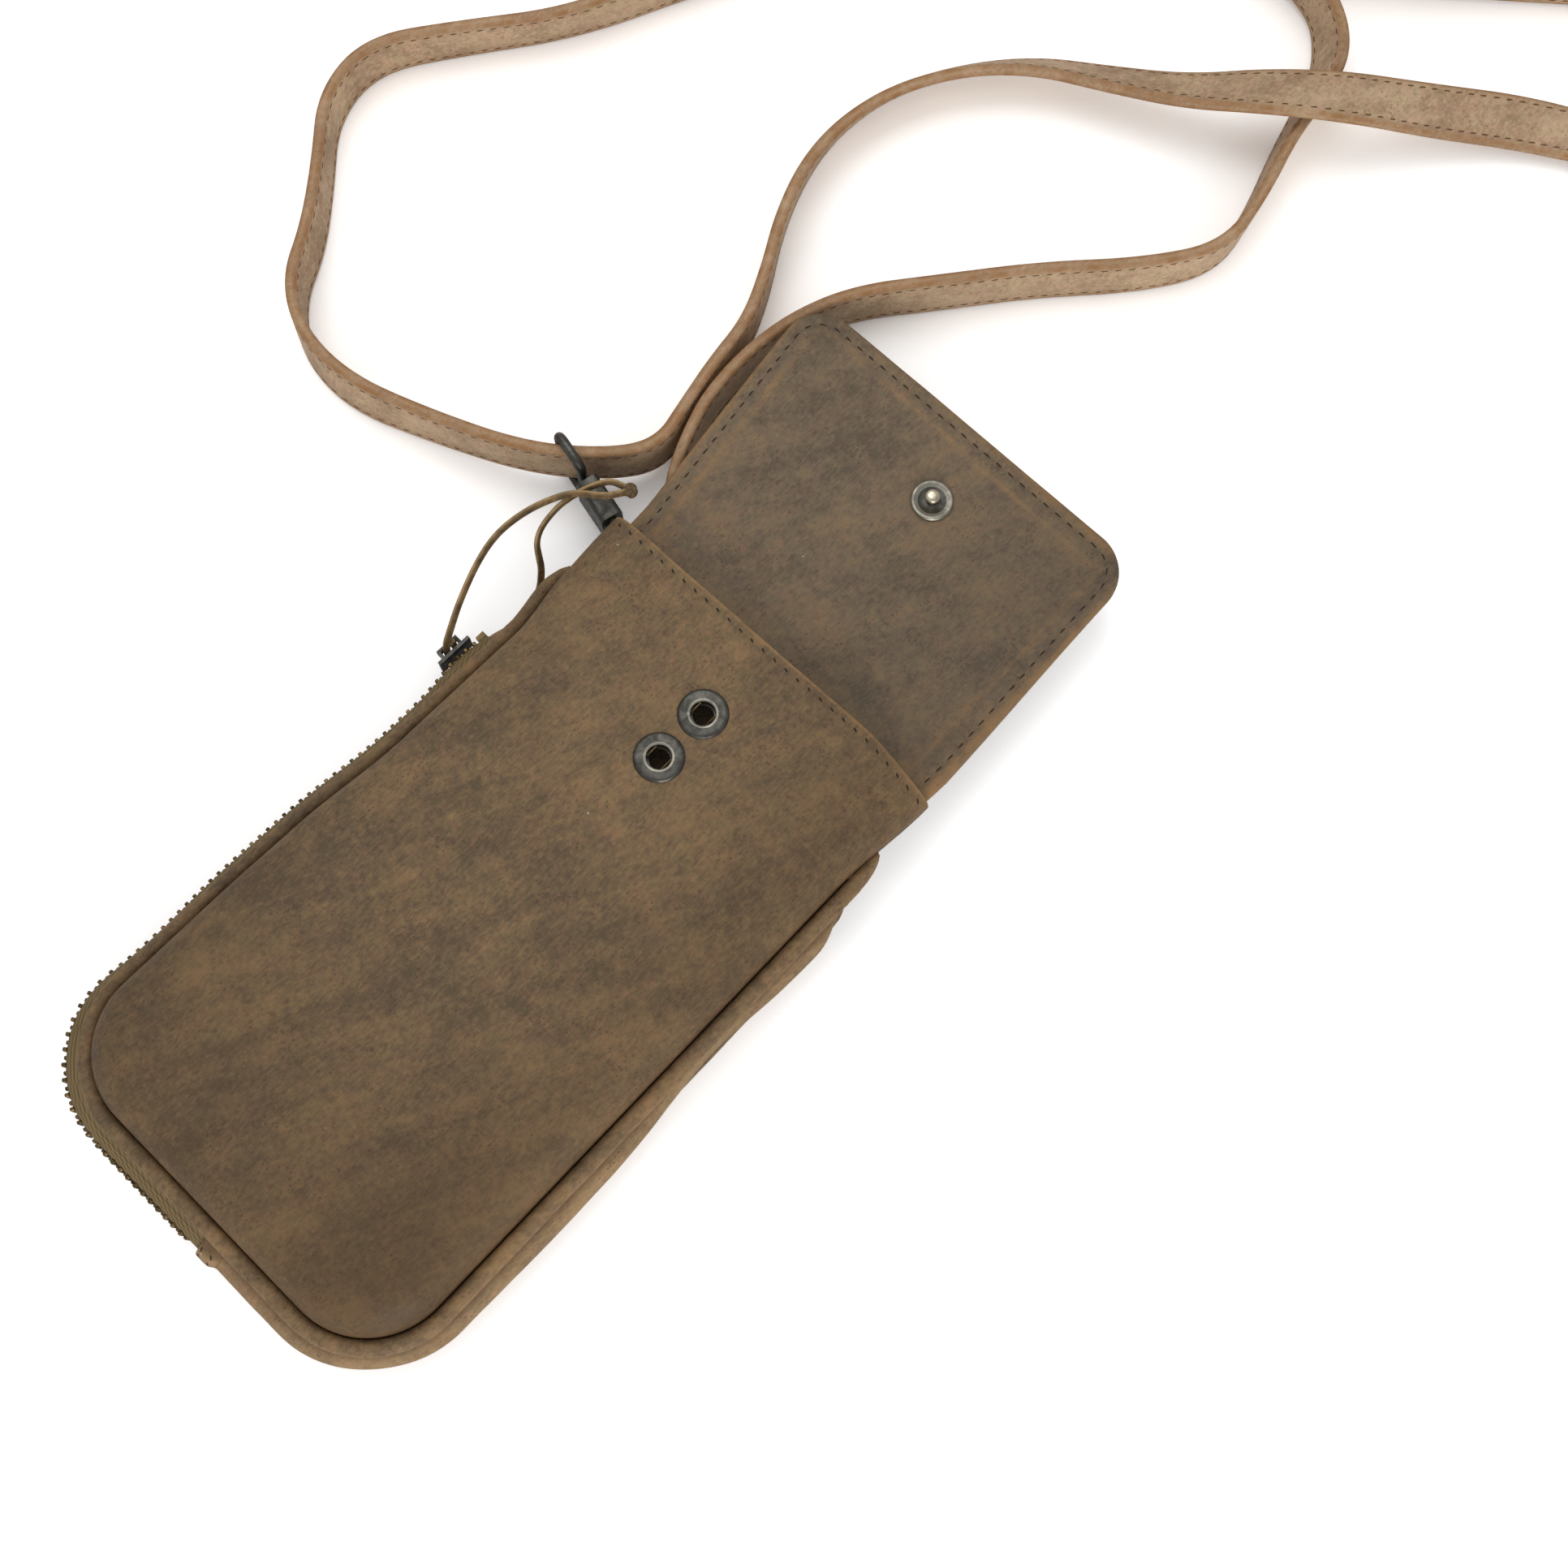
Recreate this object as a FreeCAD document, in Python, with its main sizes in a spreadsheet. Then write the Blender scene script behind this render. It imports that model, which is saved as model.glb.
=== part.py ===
import FreeCAD, Part
import Sketcher
import math
import os

# A leather phone pouch lying on its back with its flap open.
# X runs across the pouch, Y from its bottom to the flap, Z up from the back panel's flat face.
sizes = {
    # layers and clearances
    "leather": 1.6,
    "tape": 0.8,
    "sewn_gap": 0.3,
    "fold_gap": 0.15,
    "running_gap": 0.3,
    "overrun": 5,
    # outline of the pouch at its seam
    "mouth_y": 90,
    "body_length": 182.5,
    "mouth_half": 51,
    "bottom_half": 53.2,
    "corner_radius": 22,
    # phone pocket on the zipped compartment
    "room_height": 15.8,
    "dome_rise": 10,
    "dome_inset": 14,
    "hem": 8,
    "hem_layer": 1.2,
    "back_bend_y": 50,
    "back_top_y": 72,
    "back_lap": 6,
    # piping in the seams
    "piping_radius": 1.9,
    "piping_top_y": 75,
    "back_piping_top_y": 64,
    "piping_bend": 8,
    # side wall: gusset, zip tapes and teeth
    "wall_reach": 6.5,
    "zip_reach": 7.3,
    "gusset_top_y": 69,
    "zip_top_y": 50,
    "zip_end_x": 4,
    "end_tab_width": 9,
    "end_tab_height": 7,
    "tooth_pitch": 2.6,
    "tooth_width": 1,
    "tooth_length": 2.8,
    "tooth_head": 2,
    "tooth_leg": 1.7,
    "tooth_leg_wall": 1.2,
    "stop_length": 3,
    # zip slider and its lace
    "slider_y": 41,
    "slider_length": 10,
    "slider_width": 6.2,
    "slider_inner_width": 2.6,
    "slider_plate": 0.9,
    "bail_length": 6.4,
    "bail_width": 2.6,
    "bail_rise": 2.9,
    "bail_bar": 0.7,
    "lace_radius": 0.9,
    "knot_radius": 2,
    # flap
    "flap_root_half": 49.7,
    "flap_end_half": 54.5,
    "flap_length": 82,
    "flap_corner": 11,
    # snap
    "stud_reach": 60.3,
    "socket_drop": 35.6,
    "socket_pitch": 14.9,
    "socket_radius": 6.25,
    "socket_face_radius": 5.6,
    "socket_hole": 3,
    "socket_barrel": 3.9,
    "socket_edge": 0.5,
    "socket_rim": 1,
    "eyelet_radius": 5.2,
    "eyelet_hole": 2.6,
    "eyelet_plate": 0.6,
    "snap_spring_wire": 0.25,
    "snap_spring_half_gap": 2.4,
    "snap_spring_length": 3.2,
    "stud_radius": 5.4,
    "stud_edge": 0.5,
    "stud_base": 1,
    "stud_lip_radius": 4.6,
    "stud_dish_radius": 2.4,
    "stud_neck": 1.3,
    "stud_neck_top": 2,
    "stud_ball": 1.95,
    "stud_ball_low": 2.6,
    "stud_ball_high": 3.2,
    "stud_crown": 1.2,
    "stud_crown_low": 3.85,
    "stud_top": 4,
    "cap_radius": 6.25,
    "cap_shoulder": 5,
    "cap_edge": 0.5,
    "cap_shoulder_rise": 1.2,
    "cap_rise": 1.5,
    "shank_radius": 1.5,
    # rings and their tabs
    "ring_wire": 1.25,
    "ring_inner": 16,
    "ring_leg": 3,
    "ring_corner": 2.2,
    "ring_x": 36,
    "ring_y": 88,
    "ring_tab_leather": 1.2,
    "ring_tab_width": 12,
    "ring_tab_length": 14,
    "right_ring_drop_deg": 38,
    # swivel hook on the left ring
    "hook_level": 11.1,
    "hook_turn_deg": 12.7,
    "ring_slack": 0.5,
    "claw_radius": 3.1,
    "claw_wire": 1.3,
    "claw_tip": 1.4,
    "claw_length": 7.25,
    "block_length": 12,
    "block_half": 6.2,
    "block_side": 3,
    "block_round": 1.4,
    "bolt_radius": 1.3,
    "bolt_length": 8,
    "bolt_travel": 5,
    "thumb_radius": 1,
    "thumb_reach": 3,
    "thumb_inset": 1.4,
    "spring_wall": 0.4,
    "eye_inner": 8,
    "eye_height": 16.6,
    "eye_wire": 1.3,
    "eye_corner": 3,
    "eye_neck": 0.8,
    "swivel_radius": 1.6,
    "swivel_head": 2.4,
    "swivel_head_length": 1.2,
    "swivel_length": 3,
    # shoulder strap
    "strap_width": 15,
    "strap_thickness": 3,
    "keeper_leather": 1.3,
    "keeper_half_gap": 2.5,
    "keeper_length": 14,
    "tongue_width": 8,
    "slider_bar": 1.1,
    "slider_rail": 2,
    "slider_bar_pitch": 6,
    "end_offset": 4.6,
    "slider_keeper_half_gap": 1.55,
    "slider_keeper_leather": 1.2,
    "rail_margin": 1.2,
}

# Section of the side wall, as shares of its reach and of the compartment's height
gusset_shares = [(-0.9, 1), (-0.12, 1), (0.46, 0.83), (0.9, 0.63), (1, 0.47), (0.86, 0.33),
                 (0.46, 0.3), (-0.08, 0.15), (-0.08, 0), (-0.9, 0)]
front_tape_shares = [(-0.9, 1), (-0.12, 1), (0.52, 0.86), (0.785, 0.665)]
back_tape_shares = [(0.785, 0.435), (0.48, 0.28), (-0.08, 0.17), (-0.08, 0), (-0.9, 0)]
# Height of the teeth, as a share of the compartment's height
chain_share = 0.55
# Rise of the front panel from its seam, as shares of its inset and its height
dome_shares = [(0, 0), (0.05, 0.35), (0.2, 0.68), (0.48, 0.9), (1, 1)]
arc_tangent_share = 0.45
section_turn_deg = 12

# Strap: points of its middle line, with the roll of its width from flat (0) to on edge (90)
strap_route = [
    (20.5, 88, 5.2, 0), (6, 88.3, 5.2, 0), (-14, 91, 5.3, 0), (-32, 99.5, 5.2, 4),
    (-47.5, 110.5, 7.3, 44), (-56.8, 120.5, 7.9, 86), (-61.8, 133, 7.8, 90), (-63, 149, 7.8, 90),
    (-61, 165, 7.8, 90), (-54.5, 181, 7.8, 90), (-43, 199, 7.8, 90), (-26, 220, 7.8, 90),
    (-8, 240, 7.9, 88), (3, 258, 8, 75), (3.5, 277, 7.5, 50), (-2.5, 294, 5.2, 25),
    (-7, 311, 5.2, 25), (-12.5, 325, 7.8, 60), (-26, 334.5, 9, 90), (-48, 334.5, 10.4, 90),
    (-77, 325.5, 10.4, 90), (-106, 300, 8.6, 90), (-133, 263, 7.8, 90), (-152, 224, 7.8, 90),
    (-168, 190, 7.8, 90), (-186, 164, 7.8, 90), (-198, 143, 7.8, 90), (-196, 124, 7.8, 90),
    (-183, 108, 7.8, 90), (-171, 94, 7.8, 90), (-163, 80.5, 7.8, 90), (-150, 71.5, 7.8, 90),
    (-131, 70, 7.8, 90), (-109, 76.5, 8.6, 90), (-82.6, 89.1, 11.4, 90), (-66.2, 104.2, 11.4, 90),
    (-60.8, 115, 9.6, 90), (-64, 127, 8, 90), (-67.2, 141, 7.8, 90), (-69, 155, 7.8, 90),
    (-75, 169, 7.8, 90), (-84, 183, 7.8, 90), (-91, 199, 7.8, 90), (-93.5, 216, 7.8, 90),
    (-89.5, 234, 7.8, 90), (-79.5, 251.5, 7.9, 88), (-66, 265, 8, 72), (-50, 274.5, 7.6, 40),
    (-33, 286, 10, 12), (-18, 298.5, 14.6, 0), (-1, 312.5, 14.6, 0), (18, 328.5, 8.4, 0),
    (39, 344.5, 3.4, 0), (60, 359, 4, 10), (78, 373, 7.2, 45), (88.5, 389, 7.9, 86),
    (88, 406, 7.8, 90), (75, 415, 7.8, 90), (56, 411, 7.8, 90), (32, 396.5, 7.8, 90),
    (6, 373.5, 8.4, 90), (-17, 354, 9.4, 90), (-39, 342.1, 10.4, 90), (-61, 335.3, 10.4, 90)]
strap_slider_run = 19
# Lace: the two strands from the slider's bail to the knot
outer_lace_route = [
    (-61, 39.8, 7), (-61, 39.8, 14.3), (-62.8, 43.8, 16.3), (-66.6, 50.8, 16.4), (-70.5, 61, 17.5),
    (-71.6, 69, 19.5), (-70.2, 77, 21), (-67.6, 83.5, 22.2), (-64.4, 89.2, 22.6), (-58.2, 93.4, 22.9),
    (-55.67, 96.81, 23.2)]
inner_lace_route = [
    (-61, 42.2, 13.8), (-61, 42.2, 6), (-60.2, 46.5, 2.6), (-59.9, 60, 2.4), (-59.6, 67.5, 4.5),
    (-60.2, 71.5, 11), (-61.2, 72.6, 15.5), (-63.6, 74.4, 17.8), (-65, 78.1, 19.5), (-65.4, 83.8, 20.3),
    (-65.1, 87.4, 20.1), (-63.8, 91.8, 20.9), (-60.5, 97.2, 22.8), (-56.92, 98.51, 23.2)]
knot_place = (-54.6, 98.9, 23.2)

doc = FreeCAD.newDocument("phone_pouch")
sheet = doc.addObject("Spreadsheet::Sheet", "Sizes")
for row, (alias, number) in enumerate(sizes.items(), start=1):
    sheet.set("A%d" % row, alias)
    sheet.set("B%d" % row, str(number))
    sheet.setAlias("B%d" % row, alias)
doc.recompute()


class Values:
    pass


v = Values()
for alias in sizes:
    setattr(v, alias, float(sheet.get(alias)))

vec = FreeCAD.Vector
up = vec(0, 0, 1)
along_x = vec(1, 0, 0)
pieces = []


def dim(**counts):
    # A sum of sheet values, as a number and as an expression
    number = sum(count * getattr(v, alias) for alias, count in counts.items())
    text = " + ".join("%g * Sizes.%s" % (count, alias) for alias, count in counts.items())
    return number, text


def piece(label, shape, placement=None):
    obj = doc.addObject("Part::Feature", label)
    obj.Label = label
    obj.Shape = shape
    if placement is not None:
        obj.Placement = placement
    pieces.append(obj)
    return obj


def turned(label, profile):
    # A body turned about Z, each corner of its half profile bound to the sheet
    body = doc.addObject("PartDesign::Body", label)
    body.Label = label
    sketch = body.newObject("Sketcher::SketchObject", label + "_profile")
    plane = [item for item in body.Origin.OriginFeatures if item.Role == "XZ_Plane"][0]
    sketch.AttachmentSupport = [(plane, "")]
    sketch.MapMode = "FlatFace"
    count = len(profile)
    corners = [vec(radius[0], height[0], 0) for radius, height in profile]
    for index in range(count):
        sketch.addGeometry(Part.LineSegment(corners[index], corners[(index + 1) % count]), False)
    for index in range(count):
        sketch.addConstraint(Sketcher.Constraint("Coincident", index, 2, (index + 1) % count, 1))
    for index, (radius, height) in enumerate(profile):
        for kind, axis, (number, text) in (("DistanceX", -2, radius), ("DistanceY", -1, height)):
            if text:
                place = sketch.addConstraint(Sketcher.Constraint(kind, -1, 1, index, 1, number))
                sketch.setExpression("Constraints[%d]" % place, text)
            else:
                sketch.addConstraint(Sketcher.Constraint("PointOnObject", index, 1, axis))
    turn = body.newObject("PartDesign::Revolution", label + "_turn")
    turn.Profile = sketch
    turn.ReferenceAxis = (sketch, ["V_Axis"])
    turn.Angle = 360
    body.Tip = turn
    return body


def seat(obj, x=None, y=None, z=None):
    # Place an object by expressions on the sheet
    for axis, value in (("x", x), ("y", y), ("z", z)):
        if value is not None:
            obj.setExpression("Placement.Base.%s" % axis, value[1])


def slab(x0, x1, y0, y1, z0, z1):
    return Part.makeBox(x1 - x0, y1 - y0, z1 - z0, vec(x0, y0, z0))


def rod(radius, start, end):
    return Part.makeCylinder(radius, (end - start).Length, start, end - start)


def joined(shapes):
    whole = shapes[0].fuse(shapes[1:])
    return whole.removeSplitter()


def polygon(points):
    return Part.Face(Part.makePolygon(list(points) + [points[0]]))


# Levels, from the back panel up
back_top = v.leather
divider_low = back_top + v.room_height
seam_level = divider_low + v.leather
flap_low = divider_low - v.leather
front_top = seam_level + v.dome_rise
bottom_y = v.mouth_y - v.body_length
side_slope = (v.bottom_half - v.mouth_half) / v.body_length


def half_width(y):
    return v.mouth_half + (v.mouth_y - y) * side_slope


# The pouch's edge as lines and arcs, from the left side round the bottom to the right side
def edge_segments(offset, start, end):
    low = bottom_y - offset
    radius = v.corner_radius + offset
    down = vec(-side_slope, -1, 0).normalize()
    turn = math.acos(down.x)
    reach = radius * math.tan(turn / 2)
    corner = half_width(low) + offset
    left_end = vec(-corner, low, 0) - down * reach
    right_start = vec(-left_end.x, left_end.y, 0)
    bottom_start = vec(reach - corner, low, 0)
    bottom_end = vec(corner - reach, low, 0)
    segments = []
    if start[0] == "left":
        first = vec(-half_width(start[1]) - offset, start[1], 0)
        segments.append(("line", first, left_end))
        segments.append(("arc", left_end, down, radius, turn))
    else:
        bottom_start = vec(start[1], low, 0)
    if end[0] == "bottom":
        segments.append(("line", bottom_start, vec(end[1], low, 0)))
    else:
        last = vec(half_width(end[1]) + offset, end[1], 0)
        segments.append(("line", bottom_start, bottom_end))
        segments.append(("arc", bottom_end, along_x, radius, turn))
        segments.append(("line", right_start, last))
    return segments


def arc_point(start, direction, radius, angle):
    # A point on an arc that turns to the left in plan
    inward = up.cross(direction)
    return start + inward * (radius * (1 - math.cos(angle))) + direction * (radius * math.sin(angle))


def edges_of(segments, level):
    lift = up * level
    edges = []
    for segment in segments:
        if segment[0] == "line":
            edges.append(Part.LineSegment(segment[1] + lift, segment[2] + lift).toShape())
        else:
            name, start, direction, radius, turn = segment
            middle = arc_point(start, direction, radius, turn / 2)
            end = arc_point(start, direction, radius, turn)
            edges.append(Part.Arc(start + lift, middle + lift, end + lift).toShape())
    return edges


def on_segments(segments, distance):
    # The point and the direction at a distance along the edge
    for segment in segments:
        if segment[0] == "line":
            length = (segment[2] - segment[1]).Length
            direction = (segment[2] - segment[1]).normalize()
            if distance <= length:
                return segment[1] + direction * distance, direction
        else:
            name, start, direction, radius, turn = segment
            length = radius * turn
            if distance <= length:
                angle = distance / radius
                heading = FreeCAD.Rotation(up, math.degrees(angle)).multVec(direction)
                return arc_point(start, direction, radius, angle), heading
        distance -= length
    return segments[-1][2], direction


def segments_length(segments):
    return sum((item[2] - item[1]).Length if item[0] == "line" else item[3] * item[4] for item in segments)


def outline_wire(offset, top, level):
    edges = edges_of(edge_segments(offset, ("left", top), ("right", top)), level)
    close = Part.LineSegment(edges[-1].Vertexes[-1].Point, edges[0].Vertexes[0].Point).toShape()
    return Part.Wire(edges + [close])


def prism(offset, top, low, high):
    return Part.Face(outline_wire(offset, top, low)).extrude(up * (high - low))


def swept(path, section):
    shell = Part.BRepOffsetAPI.MakePipeShell(path)
    shell.setBiNormalMode(up)
    shell.add(section, False, False)
    shell.build()
    shell.makeSolid()
    return shell.shape()


def strip_section(line, thickness):
    # A closed section from a line of (outward, height) points, thickened to its right
    inner = []
    for index, (out, high) in enumerate(line):
        normals = []
        for a, b in ((index - 1, index), (index, index + 1)):
            if a >= 0 and b < len(line):
                run = vec(line[b][0] - line[a][0], line[b][1] - line[a][1], 0).normalize()
                normals.append(vec(run.y, -run.x, 0))
        middle = (normals[0] + normals[-1]).normalize()
        step = middle * (thickness / middle.dot(normals[0]))
        inner.append((out + step.x, high + step.y))
    return list(line) + inner[::-1]


def wall_section(segments, points):
    start, direction = on_segments(segments, 0)
    outward = direction.cross(up)
    corners = [start + outward * out + up * high for out, high in points]
    return Part.makePolygon(corners + [corners[0]])


def wall_line(shares):
    return [(out * v.wall_reach, back_top + high * v.room_height) for out, high in shares]


# Side view of the back panel: flat, then rising to the flap's root
rise = flap_low - v.leather
rise_slope = rise / (v.back_top_y - v.back_bend_y)
rise_angle = math.atan(rise_slope)
mitre = v.leather * math.tan(rise_angle / 2)
piping_level = v.piping_radius + v.sewn_gap
bend_reach = v.piping_bend * math.tan(rise_angle / 2)
bend_lift = v.piping_bend / math.cos(rise_angle / 2) - v.piping_bend
wall_foot = piping_level + v.piping_radius + v.sewn_gap
bend_foot = piping_level + bend_lift + v.piping_radius / math.cos(rise_angle) + v.sewn_gap
top_foot = bend_foot + (v.mouth_y - v.back_bend_y) * rise_slope
under_rise = polygon([vec(0, v.back_bend_y - bend_reach, -v.overrun), vec(0, v.back_bend_y - bend_reach, wall_foot),
                      vec(0, v.back_bend_y, bend_foot), vec(0, v.mouth_y, top_foot),
                      vec(0, v.mouth_y, -v.overrun)])
reach_x = v.bottom_half + 2 * v.wall_reach
under_rise = under_rise.extrude(along_x * (2 * reach_x))
under_rise.translate(vec(-reach_x, 0, 0))


def back_panel():
    side = [(bottom_y, 0), (v.back_bend_y, 0), (v.back_top_y, rise), (v.back_top_y + v.back_lap, rise),
            (v.back_top_y + v.back_lap, rise + v.leather), (v.back_top_y - mitre, rise + v.leather),
            (v.back_bend_y - mitre, v.leather), (bottom_y, v.leather)]
    band = polygon([vec(-reach_x, y, z) for y, z in side]).extrude(along_x * (2 * reach_x))
    return band.common(prism(-v.sewn_gap, v.back_top_y + v.back_lap, -v.overrun, front_top))


# Flap: two layers, cut at the two fold lines
socket_top = front_top + v.socket_rim
closed_level = socket_top + v.running_gap + v.stud_base
bridge_length = closed_level - seam_level
root_fold_y = v.mouth_y + (v.stud_reach - v.socket_drop - bridge_length) / 2
front_fold_y = root_fold_y + bridge_length
flap_end_y = v.mouth_y + v.flap_length
stud_y = v.mouth_y + v.stud_reach
flap_slope = (v.flap_end_half - v.flap_root_half) / v.flap_length


def flap_sheet(low, high, start, end):
    root = v.back_top_y
    root_half = v.flap_root_half - (v.mouth_y - root) * flap_slope
    side = vec(flap_slope, 1, 0).normalize()
    turn = math.acos(side.x)
    reach = v.flap_corner * math.tan(turn / 2)
    corner = vec(v.flap_end_half, flap_end_y, low)
    arc_start = corner - side * reach
    arc_end = corner - along_x * reach
    middle = arc_point(arc_start, side, v.flap_corner, turn / 2)

    def mirrored(point):
        return vec(-point.x, point.y, point.z)

    right = vec(root_half, root, low)
    edges = [Part.LineSegment(right, arc_start).toShape(),
             Part.Arc(arc_start, middle, arc_end).toShape(),
             Part.LineSegment(arc_end, mirrored(arc_end)).toShape(),
             Part.Arc(mirrored(arc_end), mirrored(middle), mirrored(arc_start)).toShape(),
             Part.LineSegment(mirrored(arc_start), mirrored(right)).toShape(),
             Part.LineSegment(mirrored(right), right).toShape()]
    sheet_solid = Part.Face(Part.Wire(edges)).extrude(up * (high - low))
    return sheet_solid.common(slab(-reach_x, reach_x, start, end, low - v.overrun, high + v.overrun))


def flap_layer(layer, start, end):
    low = flap_low if layer == "outer" else divider_low
    return flap_sheet(low, low + v.leather, start, end)


def shank_hole(low, high):
    return rod(v.shank_radius + v.fold_gap, vec(0, stud_y, low), vec(0, stud_y, high))


def divider_panel():
    pocket = prism(-v.sewn_gap, v.mouth_y, divider_low, seam_level)
    root = flap_layer("lining", v.mouth_y - v.hem, root_fold_y - v.fold_gap)
    return joined([pocket, root])


# Front panel: a domed shell, open at the mouth, with its hem turned in
def dome(inset, drop, top):
    wires = []
    for out_share, high_share in dome_shares:
        offset = -v.sewn_gap - inset - out_share * v.dome_inset
        wires.append(outline_wire(offset, top, seam_level + high_share * (v.dome_rise - drop)))
    body = Part.makeLoft(wires, True, True)
    if inset:
        foot = prism(-v.sewn_gap - inset, top, seam_level - v.overrun, seam_level)
        body = joined([body, foot])
    return body


socket_places = [v.mouth_y - v.socket_drop, v.mouth_y - v.socket_drop + v.socket_pitch]


def front_panel():
    hem_wall = v.leather + v.hem_layer
    shell = dome(0, 0, v.mouth_y)
    shell = shell.cut(dome(v.leather, v.leather, v.mouth_y - v.hem))
    shell = shell.cut(dome(hem_wall, hem_wall, v.mouth_y + v.overrun))
    for y in socket_places:
        shell = shell.cut(rod(v.socket_barrel + v.fold_gap, vec(0, y, seam_level), vec(0, y, front_top + v.overrun)))
    return shell


# Piping: round welts along the seams
def ball_ended(path):
    start = path.OrderedVertexes[0].Point
    end = path.OrderedVertexes[-1].Point
    heading = path.OrderedEdges[0].tangentAt(path.OrderedEdges[0].FirstParameter)
    section = Part.Wire(Part.makeCircle(v.piping_radius, start, heading))
    shell = Part.BRepOffsetAPI.MakePipeShell(path)
    shell.add(section, False, False)
    shell.build()
    shell.makeSolid()
    return joined([shell.shape(), Part.makeSphere(v.piping_radius, start), Part.makeSphere(v.piping_radius, end)])


def front_piping():
    ends = ("left", v.piping_top_y), ("right", v.piping_top_y)
    return ball_ended(Part.Wire(edges_of(edge_segments(v.piping_radius, *ends), seam_level - v.fold_gap)))


def back_piping():
    level = piping_level
    flat_y = v.back_bend_y - bend_reach
    segments = edge_segments(v.piping_radius, ("left", flat_y), ("right", flat_y))
    edges = edges_of(segments, level)
    left_up = (segments[0][1] - segments[0][2]).normalize()
    ends = []
    for start, heading in ((segments[0][1], left_up), (segments[-1][2], vec(-left_up.x, left_up.y, 0))):
        low = start + up * level
        slanted = (heading * math.cos(rise_angle) + up * math.sin(rise_angle)).normalize()
        centre = low + up * v.piping_bend
        half = rise_angle / 2
        middle = centre + (heading * math.sin(half) - up * math.cos(half)) * v.piping_bend
        high = centre + (heading * math.sin(rise_angle) - up * math.cos(rise_angle)) * v.piping_bend
        top = high + slanted * ((v.back_piping_top_y - high.y) / slanted.y)
        ends.append((low, middle, high, top))
    low, middle, high, top = ends[0]
    before = [Part.LineSegment(top, high).toShape(), Part.Arc(high, middle, low).toShape()]
    low, middle, high, top = ends[1]
    after = [Part.Arc(low, middle, high).toShape(), Part.LineSegment(high, top).toShape()]
    return ball_ended(Part.Wire(before + edges + after))


# Side wall
def side_strip(shares, thickness, segments):
    section = wall_section(segments, strip_section(wall_line(shares), thickness))
    return swept(Part.Wire(edges_of(segments, 0)), section).cut(under_rise)


def left_side(start, end):
    return [("line", vec(-half_width(start), start, 0), vec(-half_width(end), end, 0))]


zip_ends = ("left", v.zip_top_y), ("bottom", v.zip_end_x)
zip_segments = edge_segments(0, *zip_ends)
chain_level = back_top + chain_share * v.room_height
tooth_inner = v.zip_reach - v.tooth_length - v.sewn_gap
tooth_outer = tooth_inner + v.tooth_length


def zip_teeth(facing, phase):
    # One row of teeth, each with a head on the middle line and a leg over its tape
    half = v.tooth_head / 2
    profile = [(tooth_inner, -half), (tooth_outer, -half), (tooth_outer, half + v.tooth_leg),
               (tooth_outer - v.tooth_leg_wall, half + v.tooth_leg), (tooth_outer - v.tooth_leg_wall, half),
               (tooth_inner, half)]
    room = segments_length(zip_segments) - 2 * v.stop_length
    teeth = []
    for index in range(int(room / v.tooth_pitch)):
        place = v.stop_length + (index + phase) * v.tooth_pitch
        point, heading = on_segments(zip_segments, place)
        outward = heading.cross(up)
        corners = [point + outward * out + up * (chain_level + facing * high) for out, high in profile]
        tooth = polygon([corner - heading * (v.tooth_width / 2) for corner in corners])
        teeth.append(tooth.extrude(heading * v.tooth_width))
    return Part.makeCompound(teeth)


def stop_block(place, low, high):
    point, heading = on_segments(zip_segments, place)
    outward = heading.cross(up)
    corners = [point + outward * out + up * (chain_level + level)
               for out, level in ((tooth_inner, low), (tooth_outer, low), (tooth_outer, high), (tooth_inner, high))]
    half = v.stop_length / 2 - v.sewn_gap
    return polygon([corner - heading * half for corner in corners]).extrude(heading * (2 * half))


def zip_top_stops():
    half = v.tooth_head / 2
    place = v.stop_length / 2
    return Part.makeCompound([stop_block(place, v.fold_gap, half), stop_block(place, -half, -v.fold_gap)])


def zip_bottom_stop():
    half = v.tooth_head / 2
    return stop_block(segments_length(zip_segments) - v.stop_length / 2, -half, half)


def zip_end_tab():
    segments = edge_segments(0, ("bottom", v.zip_end_x - v.end_tab_width / 2), ("right", v.zip_top_y))
    line_start = segments[0][1]
    # A plate over the end of the teeth, with a foot on the gusset beside them
    low = chain_level - v.end_tab_height / 2
    high = low + v.end_tab_height
    end_x = line_start.x + v.end_tab_width
    inner = line_start.y - v.zip_reach - v.sewn_gap
    plate = slab(line_start.x, end_x, inner - v.leather, inner, low, high)
    foot_y = line_start.y - v.wall_reach - v.sewn_gap
    foot = slab(v.zip_end_x + 2 * v.sewn_gap, end_x, inner, foot_y, low, high)
    return joined([plate, foot])


# Zip slider, in its own frame: X along the zip, Y outward, Z up
slider_point = vec(-half_width(v.slider_y), v.slider_y, chain_level)
zip_down = vec(-side_slope, -1, 0).normalize()
slider_turn = math.degrees(math.atan2(-zip_down.y, -zip_down.x))
slider_placement = FreeCAD.Placement(slider_point, FreeCAD.Rotation(up, slider_turn))


def slider_outer():
    half = v.slider_length / 2
    face = tooth_outer + v.running_gap
    plate = slab(-half, half, face, face + v.slider_plate, -v.slider_width / 2, v.slider_width / 2)
    top = face + v.slider_plate + v.bail_rise
    arch = slab(-v.bail_length / 2, v.bail_length / 2, face + v.slider_plate, top,
                -v.bail_width / 2, v.bail_width / 2)
    hole = slab(-v.bail_length / 2 + v.bail_bar, v.bail_length / 2 - v.bail_bar, face + v.slider_plate,
                top - v.bail_bar, -v.bail_width, v.bail_width)
    return joined([plate, arch.cut(hole)])


def slider_inner():
    half = v.slider_length / 2
    face = tooth_inner - v.running_gap
    return slab(-half, half, face - v.slider_plate, face, -v.slider_inner_width / 2, v.slider_inner_width / 2)


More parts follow.
